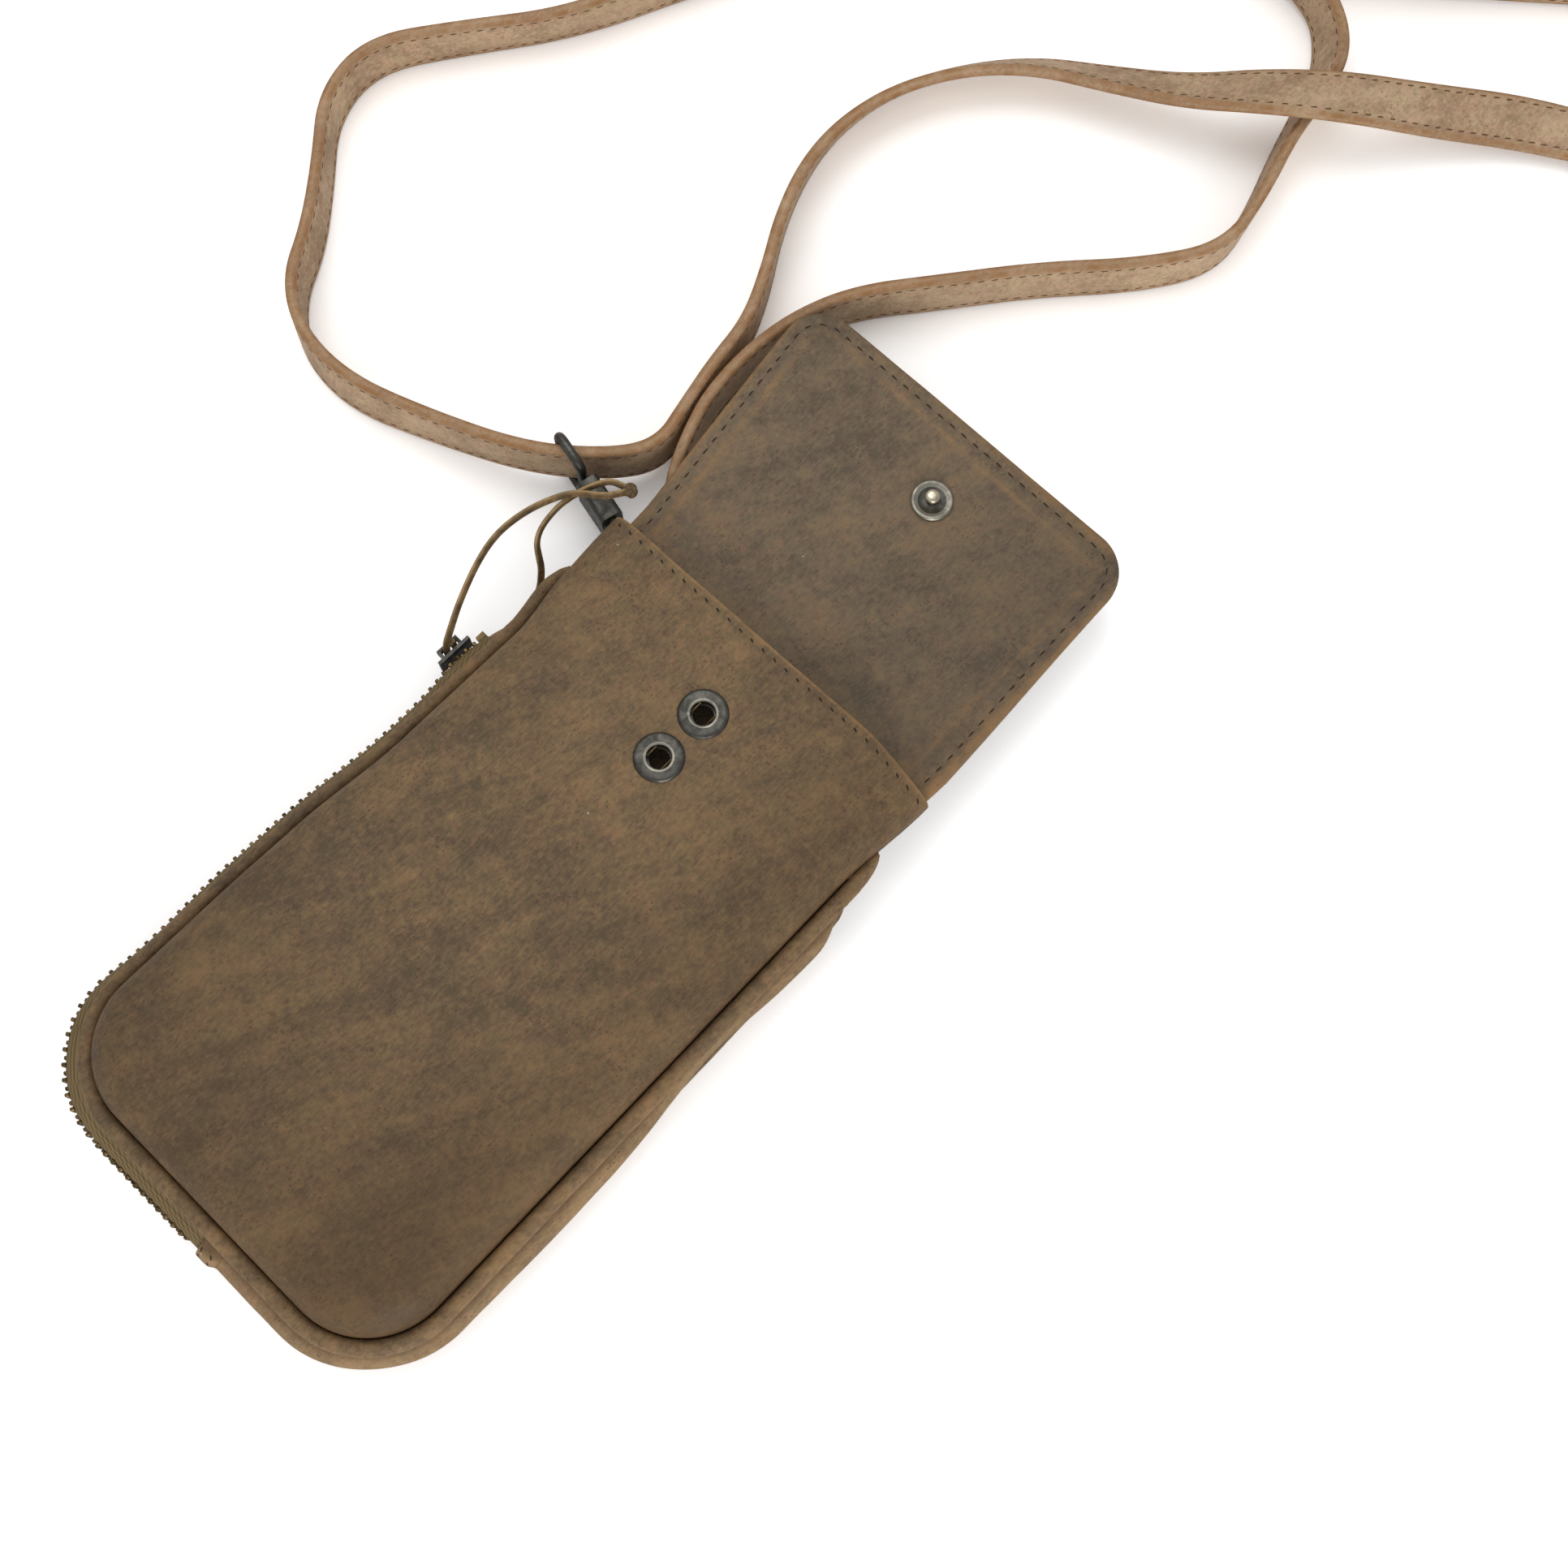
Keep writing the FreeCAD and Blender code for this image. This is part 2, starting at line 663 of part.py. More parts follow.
# Routes of the strap and the lace: straight runs joined by tangent arcs
def route_corners(points):
    corners = []
    for index in range(1, len(points) - 1):
        before = points[index] - points[index - 1]
        after = points[index + 1] - points[index]
        tangent = arc_tangent_share * min(before.Length, after.Length)
        turn = before.getAngle(after)
        first = vec(before).normalize()
        second = vec(after).normalize()
        radius = tangent / math.tan(turn / 2)
        inward = (second - first * first.dot(second)).normalize()
        corners.append((points[index], first, second, inward, tangent, turn, radius))
    return corners


def corner_point(corner, angle):
    point, first, second, inward, tangent, turn, radius = corner
    return point - first * tangent + inward * (radius * (1 - math.cos(angle))) + first * (radius * math.sin(angle))


def print_radii(label, corners):
    print(label, "radii:", " ".join("%.0f" % corner[-1] for corner in corners))


def round_cord(label, route, radius):
    points = [vec(*place) for place in route]
    corners = route_corners(points)
    print_radii(label, corners)
    edges = []
    last = points[0]
    for corner in corners:
        start = corner_point(corner, 0)
        end = corner_point(corner, corner[5])
        edges.append(Part.LineSegment(last, start).toShape())
        edges.append(Part.Arc(start, corner_point(corner, corner[5] / 2), end).toShape())
        last = end
    edges.append(Part.LineSegment(last, points[-1]).toShape())
    path = Part.Wire(edges)
    shell = Part.BRepOffsetAPI.MakePipeShell(path)
    shell.add(Part.Wire(Part.makeCircle(radius, points[0], points[1] - points[0])), False, False)
    shell.build()
    shell.makeSolid()
    solid = shell.shape()
    print(label, "length %.1f volume share %.3f" % (path.Length, solid.Volume / (path.Length * math.pi * radius**2)))
    return solid


def flat_strap(label, route, width, thickness):
    # Rectangles along the route, each rolled about the strap's middle line
    points = [vec(*place[:3]) for place in route]
    rolls = [place[3] for place in route]
    corners = route_corners(points)
    print_radii(label, corners)
    stations = [(points[0], (points[1] - points[0]).normalize(), rolls[0])]
    for index, corner in enumerate(corners, start=1):
        point, first, second, inward, tangent, turn, radius = corner
        before = (points[index] - points[index - 1]).Length
        after = (points[index + 1] - points[index]).Length
        roll_in = rolls[index] + (rolls[index - 1] - rolls[index]) * tangent / before
        roll_out = rolls[index] + (rolls[index + 1] - rolls[index]) * tangent / after
        steps = max(1, math.ceil(math.degrees(turn) / section_turn_deg))
        for step in range(steps + 1):
            angle = turn * step / steps
            heading = first * math.cos(angle) + inward * math.sin(angle)
            roll = roll_in + (roll_out - roll_in) * step / steps
            stations.append((corner_point(corner, angle), heading, roll))
    stations.append((points[-1], (points[-1] - points[-2]).normalize(), rolls[-1]))
    sections = []
    length = 0
    for index, (point, heading, roll) in enumerate(stations):
        side = up.cross(heading).normalize()
        rising = heading.cross(side)
        angle = math.radians(roll)
        across = (side * math.cos(angle) + rising * math.sin(angle)) * (width / 2)
        through = (rising * math.cos(angle) - side * math.sin(angle)) * (thickness / 2)
        ring = [point + across + through, point + across - through, point - across - through, point - across + through]
        sections.append(Part.makePolygon(ring + [ring[0]]))
        if index:
            length += (point - stations[index - 1][0]).Length
    solid = Part.makeLoft(sections, True, True)
    print(label, "length %.1f volume share %.3f" % (length, solid.Volume / (length * width * thickness)))
    return solid


# Ring and tab, in their own frame: X from the bar to the bow, Z up
def d_ring():
    half = v.ring_inner / 2 + v.ring_wire
    turn = v.ring_corner
    quarter = turn * (1 - math.sqrt(0.5))
    start = vec(0, 0, 0)
    edges = [Part.LineSegment(start, vec(0, half - turn, 0)).toShape(),
             Part.Arc(vec(0, half - turn, 0), vec(quarter, half - quarter, 0), vec(turn, half, 0)).toShape(),
             Part.LineSegment(vec(turn, half, 0), vec(v.ring_leg, half, 0)).toShape(),
             Part.Arc(vec(v.ring_leg, half, 0), vec(v.ring_leg + half, 0, 0), vec(v.ring_leg, -half, 0)).toShape(),
             Part.LineSegment(vec(v.ring_leg, -half, 0), vec(turn, -half, 0)).toShape(),
             Part.Arc(vec(turn, -half, 0), vec(quarter, quarter - half, 0), vec(0, turn - half, 0)).toShape(),
             Part.LineSegment(vec(0, turn - half, 0), start).toShape()]
    shell = Part.BRepOffsetAPI.MakePipeShell(Part.Wire(edges))
    shell.add(Part.Wire(Part.makeCircle(v.ring_wire, start, vec(0, 1, 0))), False, False)
    shell.build()
    shell.makeSolid()
    return shell.shape()


ring_bow = v.ring_leg + v.ring_inner / 2 + v.ring_wire
tab_hole = v.ring_wire + v.running_gap
tab_half = tab_hole + v.ring_tab_leather
ring_level = flap_low - v.sewn_gap - tab_half


def ring_tab():
    half = v.ring_tab_width / 2
    nose = rod(tab_half, vec(0, -half, 0), vec(0, half, 0))
    leaf = slab(-v.ring_tab_length, 0, -half, half, -tab_half, tab_half)
    bar = rod(tab_hole, vec(0, -v.ring_tab_width, 0), vec(0, v.ring_tab_width, 0))
    return joined([nose, leaf]).cut(bar)


left_bar = vec(-v.ring_x, v.ring_y, ring_level)
right_bar = vec(v.ring_x, v.ring_y, ring_level)
hook_turn = FreeCAD.Rotation(up, 180 - v.hook_turn_deg)
left_droop = math.degrees(math.asin((ring_level - v.hook_level) / ring_bow))
left_tab_placement = FreeCAD.Placement(left_bar, hook_turn)
left_ring_turn = hook_turn.multiply(FreeCAD.Rotation(vec(0, 1, 0), left_droop))
left_ring_placement = FreeCAD.Placement(left_bar, left_ring_turn)
right_ring_turn = FreeCAD.Rotation(up, 180).multiply(FreeCAD.Rotation(vec(0, 1, 0), v.right_ring_drop_deg))
right_ring_placement = FreeCAD.Placement(right_bar, right_ring_turn)
right_bow = right_ring_placement.multVec(vec(ring_bow, 0, 0))

# Hook, in its own frame: X from the ring's bar to the eye, Z up
hook_placement = FreeCAD.Placement(vec(left_bar.x, left_bar.y, v.hook_level), hook_turn)
claw_x = ring_bow - v.ring_wire - v.ring_slack + v.claw_radius - v.claw_wire
block_x = claw_x + v.claw_length
block_end = block_x + v.block_length
bolt_start = claw_x + v.claw_tip + v.running_gap
bolt_end = bolt_start + v.bolt_length
bolt_bore = v.bolt_radius + v.running_gap
bore_end = bolt_end + v.bolt_travel + 2 * v.spring_wall
bolt_axis = -v.claw_radius


def hook_body():
    block = slab(block_x, block_end, -v.block_side, v.block_side, -v.block_half, v.block_half)
    edges = [edge for edge in block.Edges if abs(edge.tangentAt(edge.FirstParameter).x) > 0.5]
    block = block.makeFillet(v.block_round, edges)
    top = vec(claw_x, 0, v.claw_radius)
    low = vec(claw_x, 0, -v.claw_radius)
    path = Part.Wire([Part.LineSegment(vec(block_x + v.claw_wire, 0, v.claw_radius), top).toShape(),
                      Part.Arc(top, vec(claw_x - v.claw_radius, 0, 0), low).toShape(),
                      Part.LineSegment(low, low + along_x * v.claw_tip).toShape()])
    shell = Part.BRepOffsetAPI.MakePipeShell(path)
    start = vec(block_x + v.claw_wire, 0, v.claw_radius)
    shell.add(Part.Wire(Part.makeCircle(v.claw_wire, start, -along_x)), False, False)
    shell.build()
    shell.makeSolid()
    body = joined([block, shell.shape()])
    bore = rod(bolt_bore, vec(block_x - v.running_gap, 0, bolt_axis), vec(bore_end, 0, bolt_axis))
    slot_half = v.thumb_radius + v.running_gap
    slot = slab(block_x - v.running_gap, bolt_end - v.thumb_inset + v.bolt_travel + slot_half,
                -slot_half, slot_half, -v.block_half - v.overrun, bolt_axis)
    swivel = rod(v.swivel_radius + v.running_gap, vec(block_end - v.swivel_length, 0, 0), vec(block_end + v.overrun, 0, 0))
    head_end = block_end - v.swivel_length + v.swivel_head_length + v.running_gap
    chamber = rod(v.swivel_head + v.running_gap, vec(block_end - v.swivel_length - v.running_gap, 0, 0),
                  vec(head_end, 0, 0))
    return body.cut(bore).cut(slot).cut(swivel).cut(chamber)


def hook_bolt():
    pin = rod(v.bolt_radius, vec(bolt_start, 0, bolt_axis), vec(bolt_end, 0, bolt_axis))
    x = bolt_end - v.thumb_inset
    thumb = rod(v.thumb_radius, vec(x, 0, bolt_axis), vec(x, 0, bolt_axis - v.bolt_radius - v.thumb_reach))
    return joined([pin, thumb])


def hook_spring():
    start = vec(bolt_end + v.fold_gap, 0, bolt_axis)
    end = vec(bore_end - v.fold_gap, 0, bolt_axis)
    return rod(v.bolt_radius, start, end).cut(rod(v.bolt_radius - v.spring_wall, start - along_x * v.overrun, end + along_x * v.overrun))


eye_start = block_end + v.eye_neck + v.eye_wire
eye_middle = eye_start + v.eye_inner / 2 + v.eye_wire


def hook_eye():
    low_x = eye_start
    high_x = eye_start + v.eye_inner + 2 * v.eye_wire
    half = v.eye_height / 2 + v.eye_wire
    turn = v.eye_corner
    quarter = turn * (1 - math.sqrt(0.5))
    start = vec(low_x, 0, 0)
    edges = [Part.LineSegment(start, vec(low_x, 0, half - turn)).toShape(),
             Part.Arc(vec(low_x, 0, half - turn), vec(low_x + quarter, 0, half - quarter),
                      vec(low_x + turn, 0, half)).toShape(),
             Part.LineSegment(vec(low_x + turn, 0, half), vec(high_x - turn, 0, half)).toShape(),
             Part.Arc(vec(high_x - turn, 0, half), vec(high_x - quarter, 0, half - quarter),
                      vec(high_x, 0, half - turn)).toShape(),
             Part.LineSegment(vec(high_x, 0, half - turn), vec(high_x, 0, turn - half)).toShape(),
             Part.Arc(vec(high_x, 0, turn - half), vec(high_x - quarter, 0, quarter - half),
                      vec(high_x - turn, 0, -half)).toShape(),
             Part.LineSegment(vec(high_x - turn, 0, -half), vec(low_x + turn, 0, -half)).toShape(),
             Part.Arc(vec(low_x + turn, 0, -half), vec(low_x + quarter, 0, quarter - half),
                      vec(low_x, 0, turn - half)).toShape(),
             Part.LineSegment(vec(low_x, 0, turn - half), start).toShape()]
    shell = Part.BRepOffsetAPI.MakePipeShell(Part.Wire(edges))
    shell.add(Part.Wire(Part.makeCircle(v.eye_wire, start, up)), False, False)
    shell.build()
    shell.makeSolid()
    head_start = block_end - v.swivel_length
    pin = rod(v.swivel_radius, vec(head_start, 0, 0), vec(low_x, 0, 0))
    head = rod(v.swivel_head, vec(head_start, 0, 0), vec(head_start + v.swivel_head_length, 0, 0))
    return joined([shell.shape(), pin, head])


# Strap ends: a leather keeper round the right ring's bow, another round the strap slider's bar
def keeper(half_gap, leather, length, width):
    # In its own frame: X along the strap to the bar at the origin, Y across its width, Z through it
    half = width / 2
    outer = half_gap + leather
    nose = rod(outer, vec(0, -half, 0), vec(0, half, 0))
    leaf = slab(-length, 0, -half, half, -outer, outer)
    gap_nose = rod(half_gap, vec(0, -width, 0), vec(0, width, 0))
    gap = slab(-length - v.overrun, 0, -width, width, -half_gap, half_gap)
    return joined([nose, leaf]).cut(joined([gap_nose, gap]))


slider_from = vec(*strap_route[strap_slider_run][:3])
slider_to = vec(*strap_route[strap_slider_run + 1][:3])
run_heading = (slider_to - slider_from).normalize()
run_turn = FreeCAD.Rotation(up, math.degrees(math.atan2(run_heading.y, run_heading.x)))
strap_slider_placement = FreeCAD.Placement((slider_from + slider_to) / 2, run_turn)
on_edge = FreeCAD.Rotation(along_x, 90)


def strap_slider():
    # Two rails and three bars: X along the strap, Y towards the pouch, Z up
    rail_low = v.strap_width / 2 + v.running_gap
    rail_high = rail_low + v.slider_rail
    outer_bar = v.strap_thickness / 2 + v.running_gap + v.slider_bar
    reach = v.slider_bar_pitch + v.slider_bar + v.rail_margin
    near = outer_bar + v.slider_bar + v.rail_margin
    far = v.end_offset + v.slider_bar + v.rail_margin
    parts = [slab(-reach, reach, -far, near, rail_low, rail_high), slab(-reach, reach, -far, near, -rail_high, -rail_low)]
    for x, y in ((-v.slider_bar_pitch, outer_bar), (0, -v.end_offset), (v.slider_bar_pitch, outer_bar)):
        parts.append(rod(v.slider_bar, vec(x, y, -rail_high), vec(x, y, rail_high)))
    return joined(parts)


end_bar = strap_slider_placement.multVec(vec(0, -v.end_offset, 0))


# The pouch
piece("back_panel", back_panel())
piece("divider_panel", divider_panel())
piece("front_panel", front_panel())
piece("front_piping", front_piping())
piece("back_piping", back_piping())
right_side = edge_segments(0, ("bottom", v.zip_end_x + v.sewn_gap), ("right", v.gusset_top_y))
piece("side_gusset", side_strip(gusset_shares, v.leather, right_side))
upper_left = left_side(v.gusset_top_y, v.zip_top_y + v.sewn_gap)
piece("side_gusset_left", side_strip(gusset_shares, v.leather, upper_left))
piece("zip_tape_front", side_strip(front_tape_shares, v.tape, zip_segments))
piece("zip_tape_back", side_strip(back_tape_shares, v.tape, zip_segments))
piece("zip_end_tab", zip_end_tab())
piece("zip_teeth_front", zip_teeth(1, 0.25))
piece("zip_teeth_back", zip_teeth(-1, 0.75))
piece("zip_top_stops", zip_top_stops())
piece("zip_bottom_stop", zip_bottom_stop())
piece("zip_slider_outer", slider_outer(), slider_placement)
piece("zip_slider_inner", slider_inner(), slider_placement)
piece("zip_lace_outer", round_cord("zip_lace_outer", outer_lace_route, v.lace_radius))
piece("zip_lace_inner", round_cord("zip_lace_inner", inner_lace_route, v.lace_radius))
knot = doc.addObject("Part::Sphere", "zip_lace_knot")
knot.Label = "zip_lace_knot"
knot.setExpression("Radius", "Sizes.knot_radius")
knot.Placement = FreeCAD.Placement(vec(*knot_place), FreeCAD.Rotation())
pieces.append(knot)

# The flap
hole = shank_hole(flap_low - v.overrun, seam_level + v.overrun)
bridge_start = root_fold_y + v.fold_gap
bridge_end = front_fold_y - v.fold_gap
tip_start = front_fold_y + v.fold_gap
piece("flap_root_outer", flap_layer("outer", v.back_top_y, root_fold_y - v.fold_gap))
piece("flap_bridge_outer", flap_layer("outer", bridge_start, bridge_end))
piece("flap_bridge_lining", flap_layer("lining", bridge_start, bridge_end))
piece("flap_tip_outer", flap_layer("outer", tip_start, flap_end_y).cut(hole))
piece("flap_tip_lining", flap_layer("lining", tip_start, flap_end_y).cut(hole))

# The snap: turned pieces, the socket's set made twice
edge_top = dim(leather=1, socket_edge=1)
rim_top = dim(leather=1, socket_rim=1)
socket_profile = [
    (dim(socket_hole=1), dim()), (dim(socket_barrel=1), dim()), (dim(socket_barrel=1), dim(leather=1)),
    (dim(socket_radius=1), dim(leather=1)), (dim(socket_radius=1), edge_top),
    (dim(socket_face_radius=1), rim_top), (dim(socket_hole=1), rim_top)]
eyelet_profile = [
    (dim(eyelet_hole=1), dim()), (dim(eyelet_radius=1), dim()),
    (dim(eyelet_radius=1), dim(eyelet_plate=1)), (dim(eyelet_hole=1), dim(eyelet_plate=1))]
stud_profile = [
    (dim(), dim()), (dim(stud_radius=1), dim()), (dim(stud_radius=1), dim(stud_edge=1)),
    (dim(stud_lip_radius=1), dim(stud_base=1)), (dim(stud_dish_radius=1), dim(stud_edge=1)),
    (dim(stud_neck=1), dim(stud_edge=1)), (dim(stud_neck=1), dim(stud_neck_top=1)),
    (dim(stud_ball=1), dim(stud_ball_low=1)), (dim(stud_ball=1), dim(stud_ball_high=1)),
    (dim(stud_crown=1), dim(stud_crown_low=1)), (dim(), dim(stud_top=1))]
cap_profile = [
    (dim(), dim()), (dim(shank_radius=1), dim()), (dim(shank_radius=1), dim(leather=2)),
    (dim(cap_radius=1), dim(leather=2)), (dim(cap_radius=1), dim(leather=2, cap_edge=1)),
    (dim(cap_shoulder=1), dim(leather=2, cap_shoulder_rise=1)), (dim(), dim(leather=2, cap_rise=1))]
lining_level = dim(leather=2, room_height=1)
stud_place = dim(mouth_y=1, stud_reach=1)
stud = turned("snap_stud", stud_profile)
seat(stud, y=stud_place, z=lining_level)
cap = turned("snap_cap", cap_profile)
cap.Placement = FreeCAD.Placement(vec(0, 0, 0), FreeCAD.Rotation(along_x, 180))
seat(cap, y=stud_place, z=lining_level)
pieces.extend([stud, cap])


def pair(label, bodies):
    group = doc.addObject("Part::Compound", label)
    group.Label = label
    group.Links = bodies
    pieces.append(group)


drops = [dim(mouth_y=1, socket_drop=-1), dim(mouth_y=1, socket_drop=-1, socket_pitch=1)]
sockets = []
eyelets = []
springs = []
for number, drop in enumerate(drops, start=1):
    socket = turned("snap_socket_%d" % number, socket_profile)
    seat(socket, y=drop, z=dim(leather=1, room_height=1, dome_rise=1))
    sockets.append(socket)
    eyelet = turned("snap_eyelet_%d" % number, eyelet_profile)
    seat(eyelet, y=drop, z=dim(leather=1, room_height=1, dome_rise=1, eyelet_plate=-1))
    eyelets.append(eyelet)
    for side in (-1, 1):
        wire = doc.addObject("Part::Cylinder", "snap_spring_wire")
        wire.setExpression("Radius", "Sizes.snap_spring_wire")
        wire.setExpression("Height", "Sizes.snap_spring_length")
        wire.Placement = FreeCAD.Placement(vec(0, 0, 0), FreeCAD.Rotation(along_x, -90))
        lower = dim(mouth_y=1, socket_drop=-1, socket_pitch=number - 1, snap_spring_length=-0.5)
        seat(wire, x=dim(snap_spring_half_gap=side), y=lower, z=dim(leather=2, room_height=1, dome_rise=1))
        springs.append(wire)
pair("snap_sockets", sockets)
pair("snap_eyelets", eyelets)
pair("snap_springs", springs)

# Rings, hook and strap
piece("ring_tab_left", ring_tab(), left_tab_placement)
piece("ring_tab_right", ring_tab(), FreeCAD.Placement(right_bar, FreeCAD.Rotation()))
piece("d_ring_left", d_ring(), left_ring_placement)
piece("d_ring_right", d_ring(), right_ring_placement)
piece("hook_body", hook_body(), hook_placement)
piece("hook_bolt", hook_bolt(), hook_placement)
piece("hook_spring", hook_spring(), hook_placement)
piece("hook_eye", hook_eye(), hook_placement)
piece("shoulder_strap", flat_strap("shoulder_strap", strap_route, v.strap_width, v.strap_thickness))
ring_fold = keeper(v.keeper_half_gap, v.keeper_leather, v.keeper_length, v.tongue_width)
piece("strap_ring_fold", ring_fold, FreeCAD.Placement(right_bow, FreeCAD.Rotation()))
piece("strap_slider", strap_slider(), strap_slider_placement)
end_fold = keeper(v.slider_keeper_half_gap, v.slider_keeper_leather, v.keeper_length, v.strap_width)
piece("strap_slider_fold", end_fold, FreeCAD.Placement(end_bar, run_turn.multiply(on_edge)))

doc.recompute()
for obj in doc.Objects:
    if "Invalid" in obj.State or "Error" in obj.State:
        raise RuntimeError("not computed: " + obj.Name)
os.makedirs("parts", exist_ok=True)
for obj in pieces:
    shape = obj.Shape
    if shape.isNull() or not shape.isValid() or not shape.Solids:
        raise RuntimeError("no valid solid: " + obj.Label)
    box = shape.optimalBoundingBox()
    print("%-20s solids %3d volume %9.1f x %7.1f %7.1f y %7.1f %7.1f z %6.2f %6.2f" % (
        obj.Label, len(shape.Solids), shape.Volume, box.XMin, box.XMax, box.YMin, box.YMax, box.ZMin, box.ZMax))
    shape.exportStep("parts/%s.step" % obj.Label)
print("folds at y %.2f and %.2f, level %.2f" % (root_fold_y, front_fold_y, seam_level))
print("hook axis from", hook_placement.multVec(vec(block_x, 0, 0)), "to", hook_placement.multVec(vec(eye_middle, 0, 0)))
print("ring level %.3f, right bow" % ring_level, right_bow)
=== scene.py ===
import bpy
import math
from contextlib import contextmanager
from mathutils import Matrix, Vector, noise
from mathutils.geometry import interpolate_bezier


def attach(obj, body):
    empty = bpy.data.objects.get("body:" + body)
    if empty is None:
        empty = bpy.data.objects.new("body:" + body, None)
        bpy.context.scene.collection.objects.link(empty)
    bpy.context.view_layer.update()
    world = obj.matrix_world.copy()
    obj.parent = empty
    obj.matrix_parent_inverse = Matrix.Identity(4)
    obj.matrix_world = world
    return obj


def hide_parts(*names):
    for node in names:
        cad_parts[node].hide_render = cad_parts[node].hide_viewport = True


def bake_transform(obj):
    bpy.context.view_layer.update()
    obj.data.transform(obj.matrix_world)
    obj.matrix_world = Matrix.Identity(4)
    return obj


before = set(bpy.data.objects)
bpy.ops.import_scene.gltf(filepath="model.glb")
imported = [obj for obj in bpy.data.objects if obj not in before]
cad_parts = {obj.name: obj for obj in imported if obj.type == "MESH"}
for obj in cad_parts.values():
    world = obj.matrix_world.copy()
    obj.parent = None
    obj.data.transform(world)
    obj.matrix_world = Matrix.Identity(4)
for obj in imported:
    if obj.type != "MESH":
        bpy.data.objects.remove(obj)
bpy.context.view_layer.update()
mm = 0.001
upAxis = Vector((0, 0, 1))
print("frame loaded:", len(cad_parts), "nodes")


def addObject(name, data):
    made = bpy.data.objects.new(name, data)
    bpy.context.scene.collection.objects.link(made)
    return made


def frameMatrix(place, along, out, rise):
    axes = (along, out, rise)
    turned = Matrix([[axis[row] for axis in axes] for row in range(3)]).to_4x4()
    return Matrix.Translation(Vector(place) * mm) @ turned


# camera at the photo's view
cameraSetup = {
    "place": (109.648, -22.127, 518.813), "lens": 49.145, "sensor": 36.0,
    "axes": [(0.71987, 0.69407, 0.00769), (-0.67397, 0.69628, 0.24689), (0.16600, -0.18291, 0.96901)]}
cameraData = bpy.data.cameras.new("photoCamera")
cameraData.lens = cameraSetup["lens"]
cameraData.sensor_width = cameraSetup["sensor"]
cameraData.sensor_fit = "HORIZONTAL"
cameraData.clip_start = 0.01
camera = addObject("photoCamera", cameraData)
camera.matrix_world = frameMatrix(cameraSetup["place"], *(Vector(axis) for axis in cameraSetup["axes"]))
bpy.context.scene.camera = camera
bpy.context.scene.view_settings.view_transform = "Standard"
print("camera set")


# modelling helpers
def takeUp(piece):
    bpy.ops.object.select_all(action="DESELECT")
    piece.select_set(True)
    bpy.context.view_layer.objects.active = piece


def gridPiece(name, rows):
    bpy.ops.mesh.primitive_grid_add(x_subdivisions=len(rows[0]) - 1, y_subdivisions=len(rows) - 1, size=1)
    piece = bpy.context.object
    piece.name = name
    piece.data.name = name
    flat = [value * mm for row in rows for point in row for value in point]
    piece.data.vertices.foreach_set("co", flat)
    piece.data.update()
    return piece


def modify(piece, kind, **settings):
    takeUp(piece)
    bpy.ops.object.modifier_add(type=kind)
    modifier = piece.modifiers[-1]
    for key, value in settings.items():
        setattr(modifier, key, value)
    bpy.ops.object.modifier_apply(modifier=modifier.name)


@contextmanager
def editing(piece, everything=True):
    # edit mode on one piece, with all of it selected unless told otherwise
    takeUp(piece)
    bpy.ops.object.mode_set(mode="EDIT")
    if everything:
        bpy.ops.mesh.select_all(action="SELECT")
    yield
    bpy.ops.object.mode_set(mode="OBJECT")


def closeSeams(piece, gap=0.00003):
    with editing(piece):
        bpy.ops.mesh.remove_doubles(threshold=gap)
        bpy.ops.mesh.normals_make_consistent(inside=False)


def faceSheet(piece, toward):
    # turns an open sheet's faces to the side that toward points to
    lean = sum(polygon.normal.dot(toward(polygon.center)) * polygon.area for polygon in piece.data.polygons)
    if lean < 0:
        with editing(piece):
            bpy.ops.mesh.flip_normals()


def fillEnds(piece):
    with editing(piece):
        bpy.ops.mesh.select_mode(type="EDGE")
        bpy.ops.mesh.select_all(action="DESELECT")
        bpy.ops.mesh.select_non_manifold(extend=False, use_wire=False, use_multi_face=False, use_non_contiguous=False)
        bpy.ops.mesh.edge_face_add()
        bpy.ops.mesh.select_all(action="SELECT")
        bpy.ops.mesh.normals_make_consistent(inside=False)
        bpy.ops.mesh.select_mode(type="VERT")


def sculpt(piece, move):
    for vertex in piece.data.vertices:
        vertex.co = Vector(move(*(vertex.co / mm))) * mm
    piece.data.update()


def setValues(piece, name, values):
    piece.data.attributes.new(name, "FLOAT", "POINT").data.foreach_set("value", values)


def paint(piece, name, rule):
    # a share at each point, by a rule of its place in mm
    setValues(piece, name, [min(1.0, max(0.0, rule(*(vertex.co / mm)))) for vertex in piece.data.vertices])


def dress(piece, finish, body=None, nodes=(), angle=40):
    takeUp(piece)
    piece.data.materials.clear()
    piece.data.materials.append(finish)
    bpy.ops.object.shade_smooth_by_angle(angle=math.radians(angle))
    if nodes:
        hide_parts(*nodes)
    if body:
        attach(piece, body)
    return piece


def ease(low, high, value):
    share = min(1.0, max(0.0, (value - low) / (high - low)))
    return share * share * (3 - 2 * share)


def ripple(x, y, z, size, seed=0.0):
    return noise.noise(Vector((x / size + seed, y / size - seed, z / size)))


def waves(x, y, z, table):
    return sum(height * ripple(x, y, z, size, seed) for height, size, seed in table)


def hump(middle, width, value):
    return math.exp(-((value - middle) / width) ** 2)


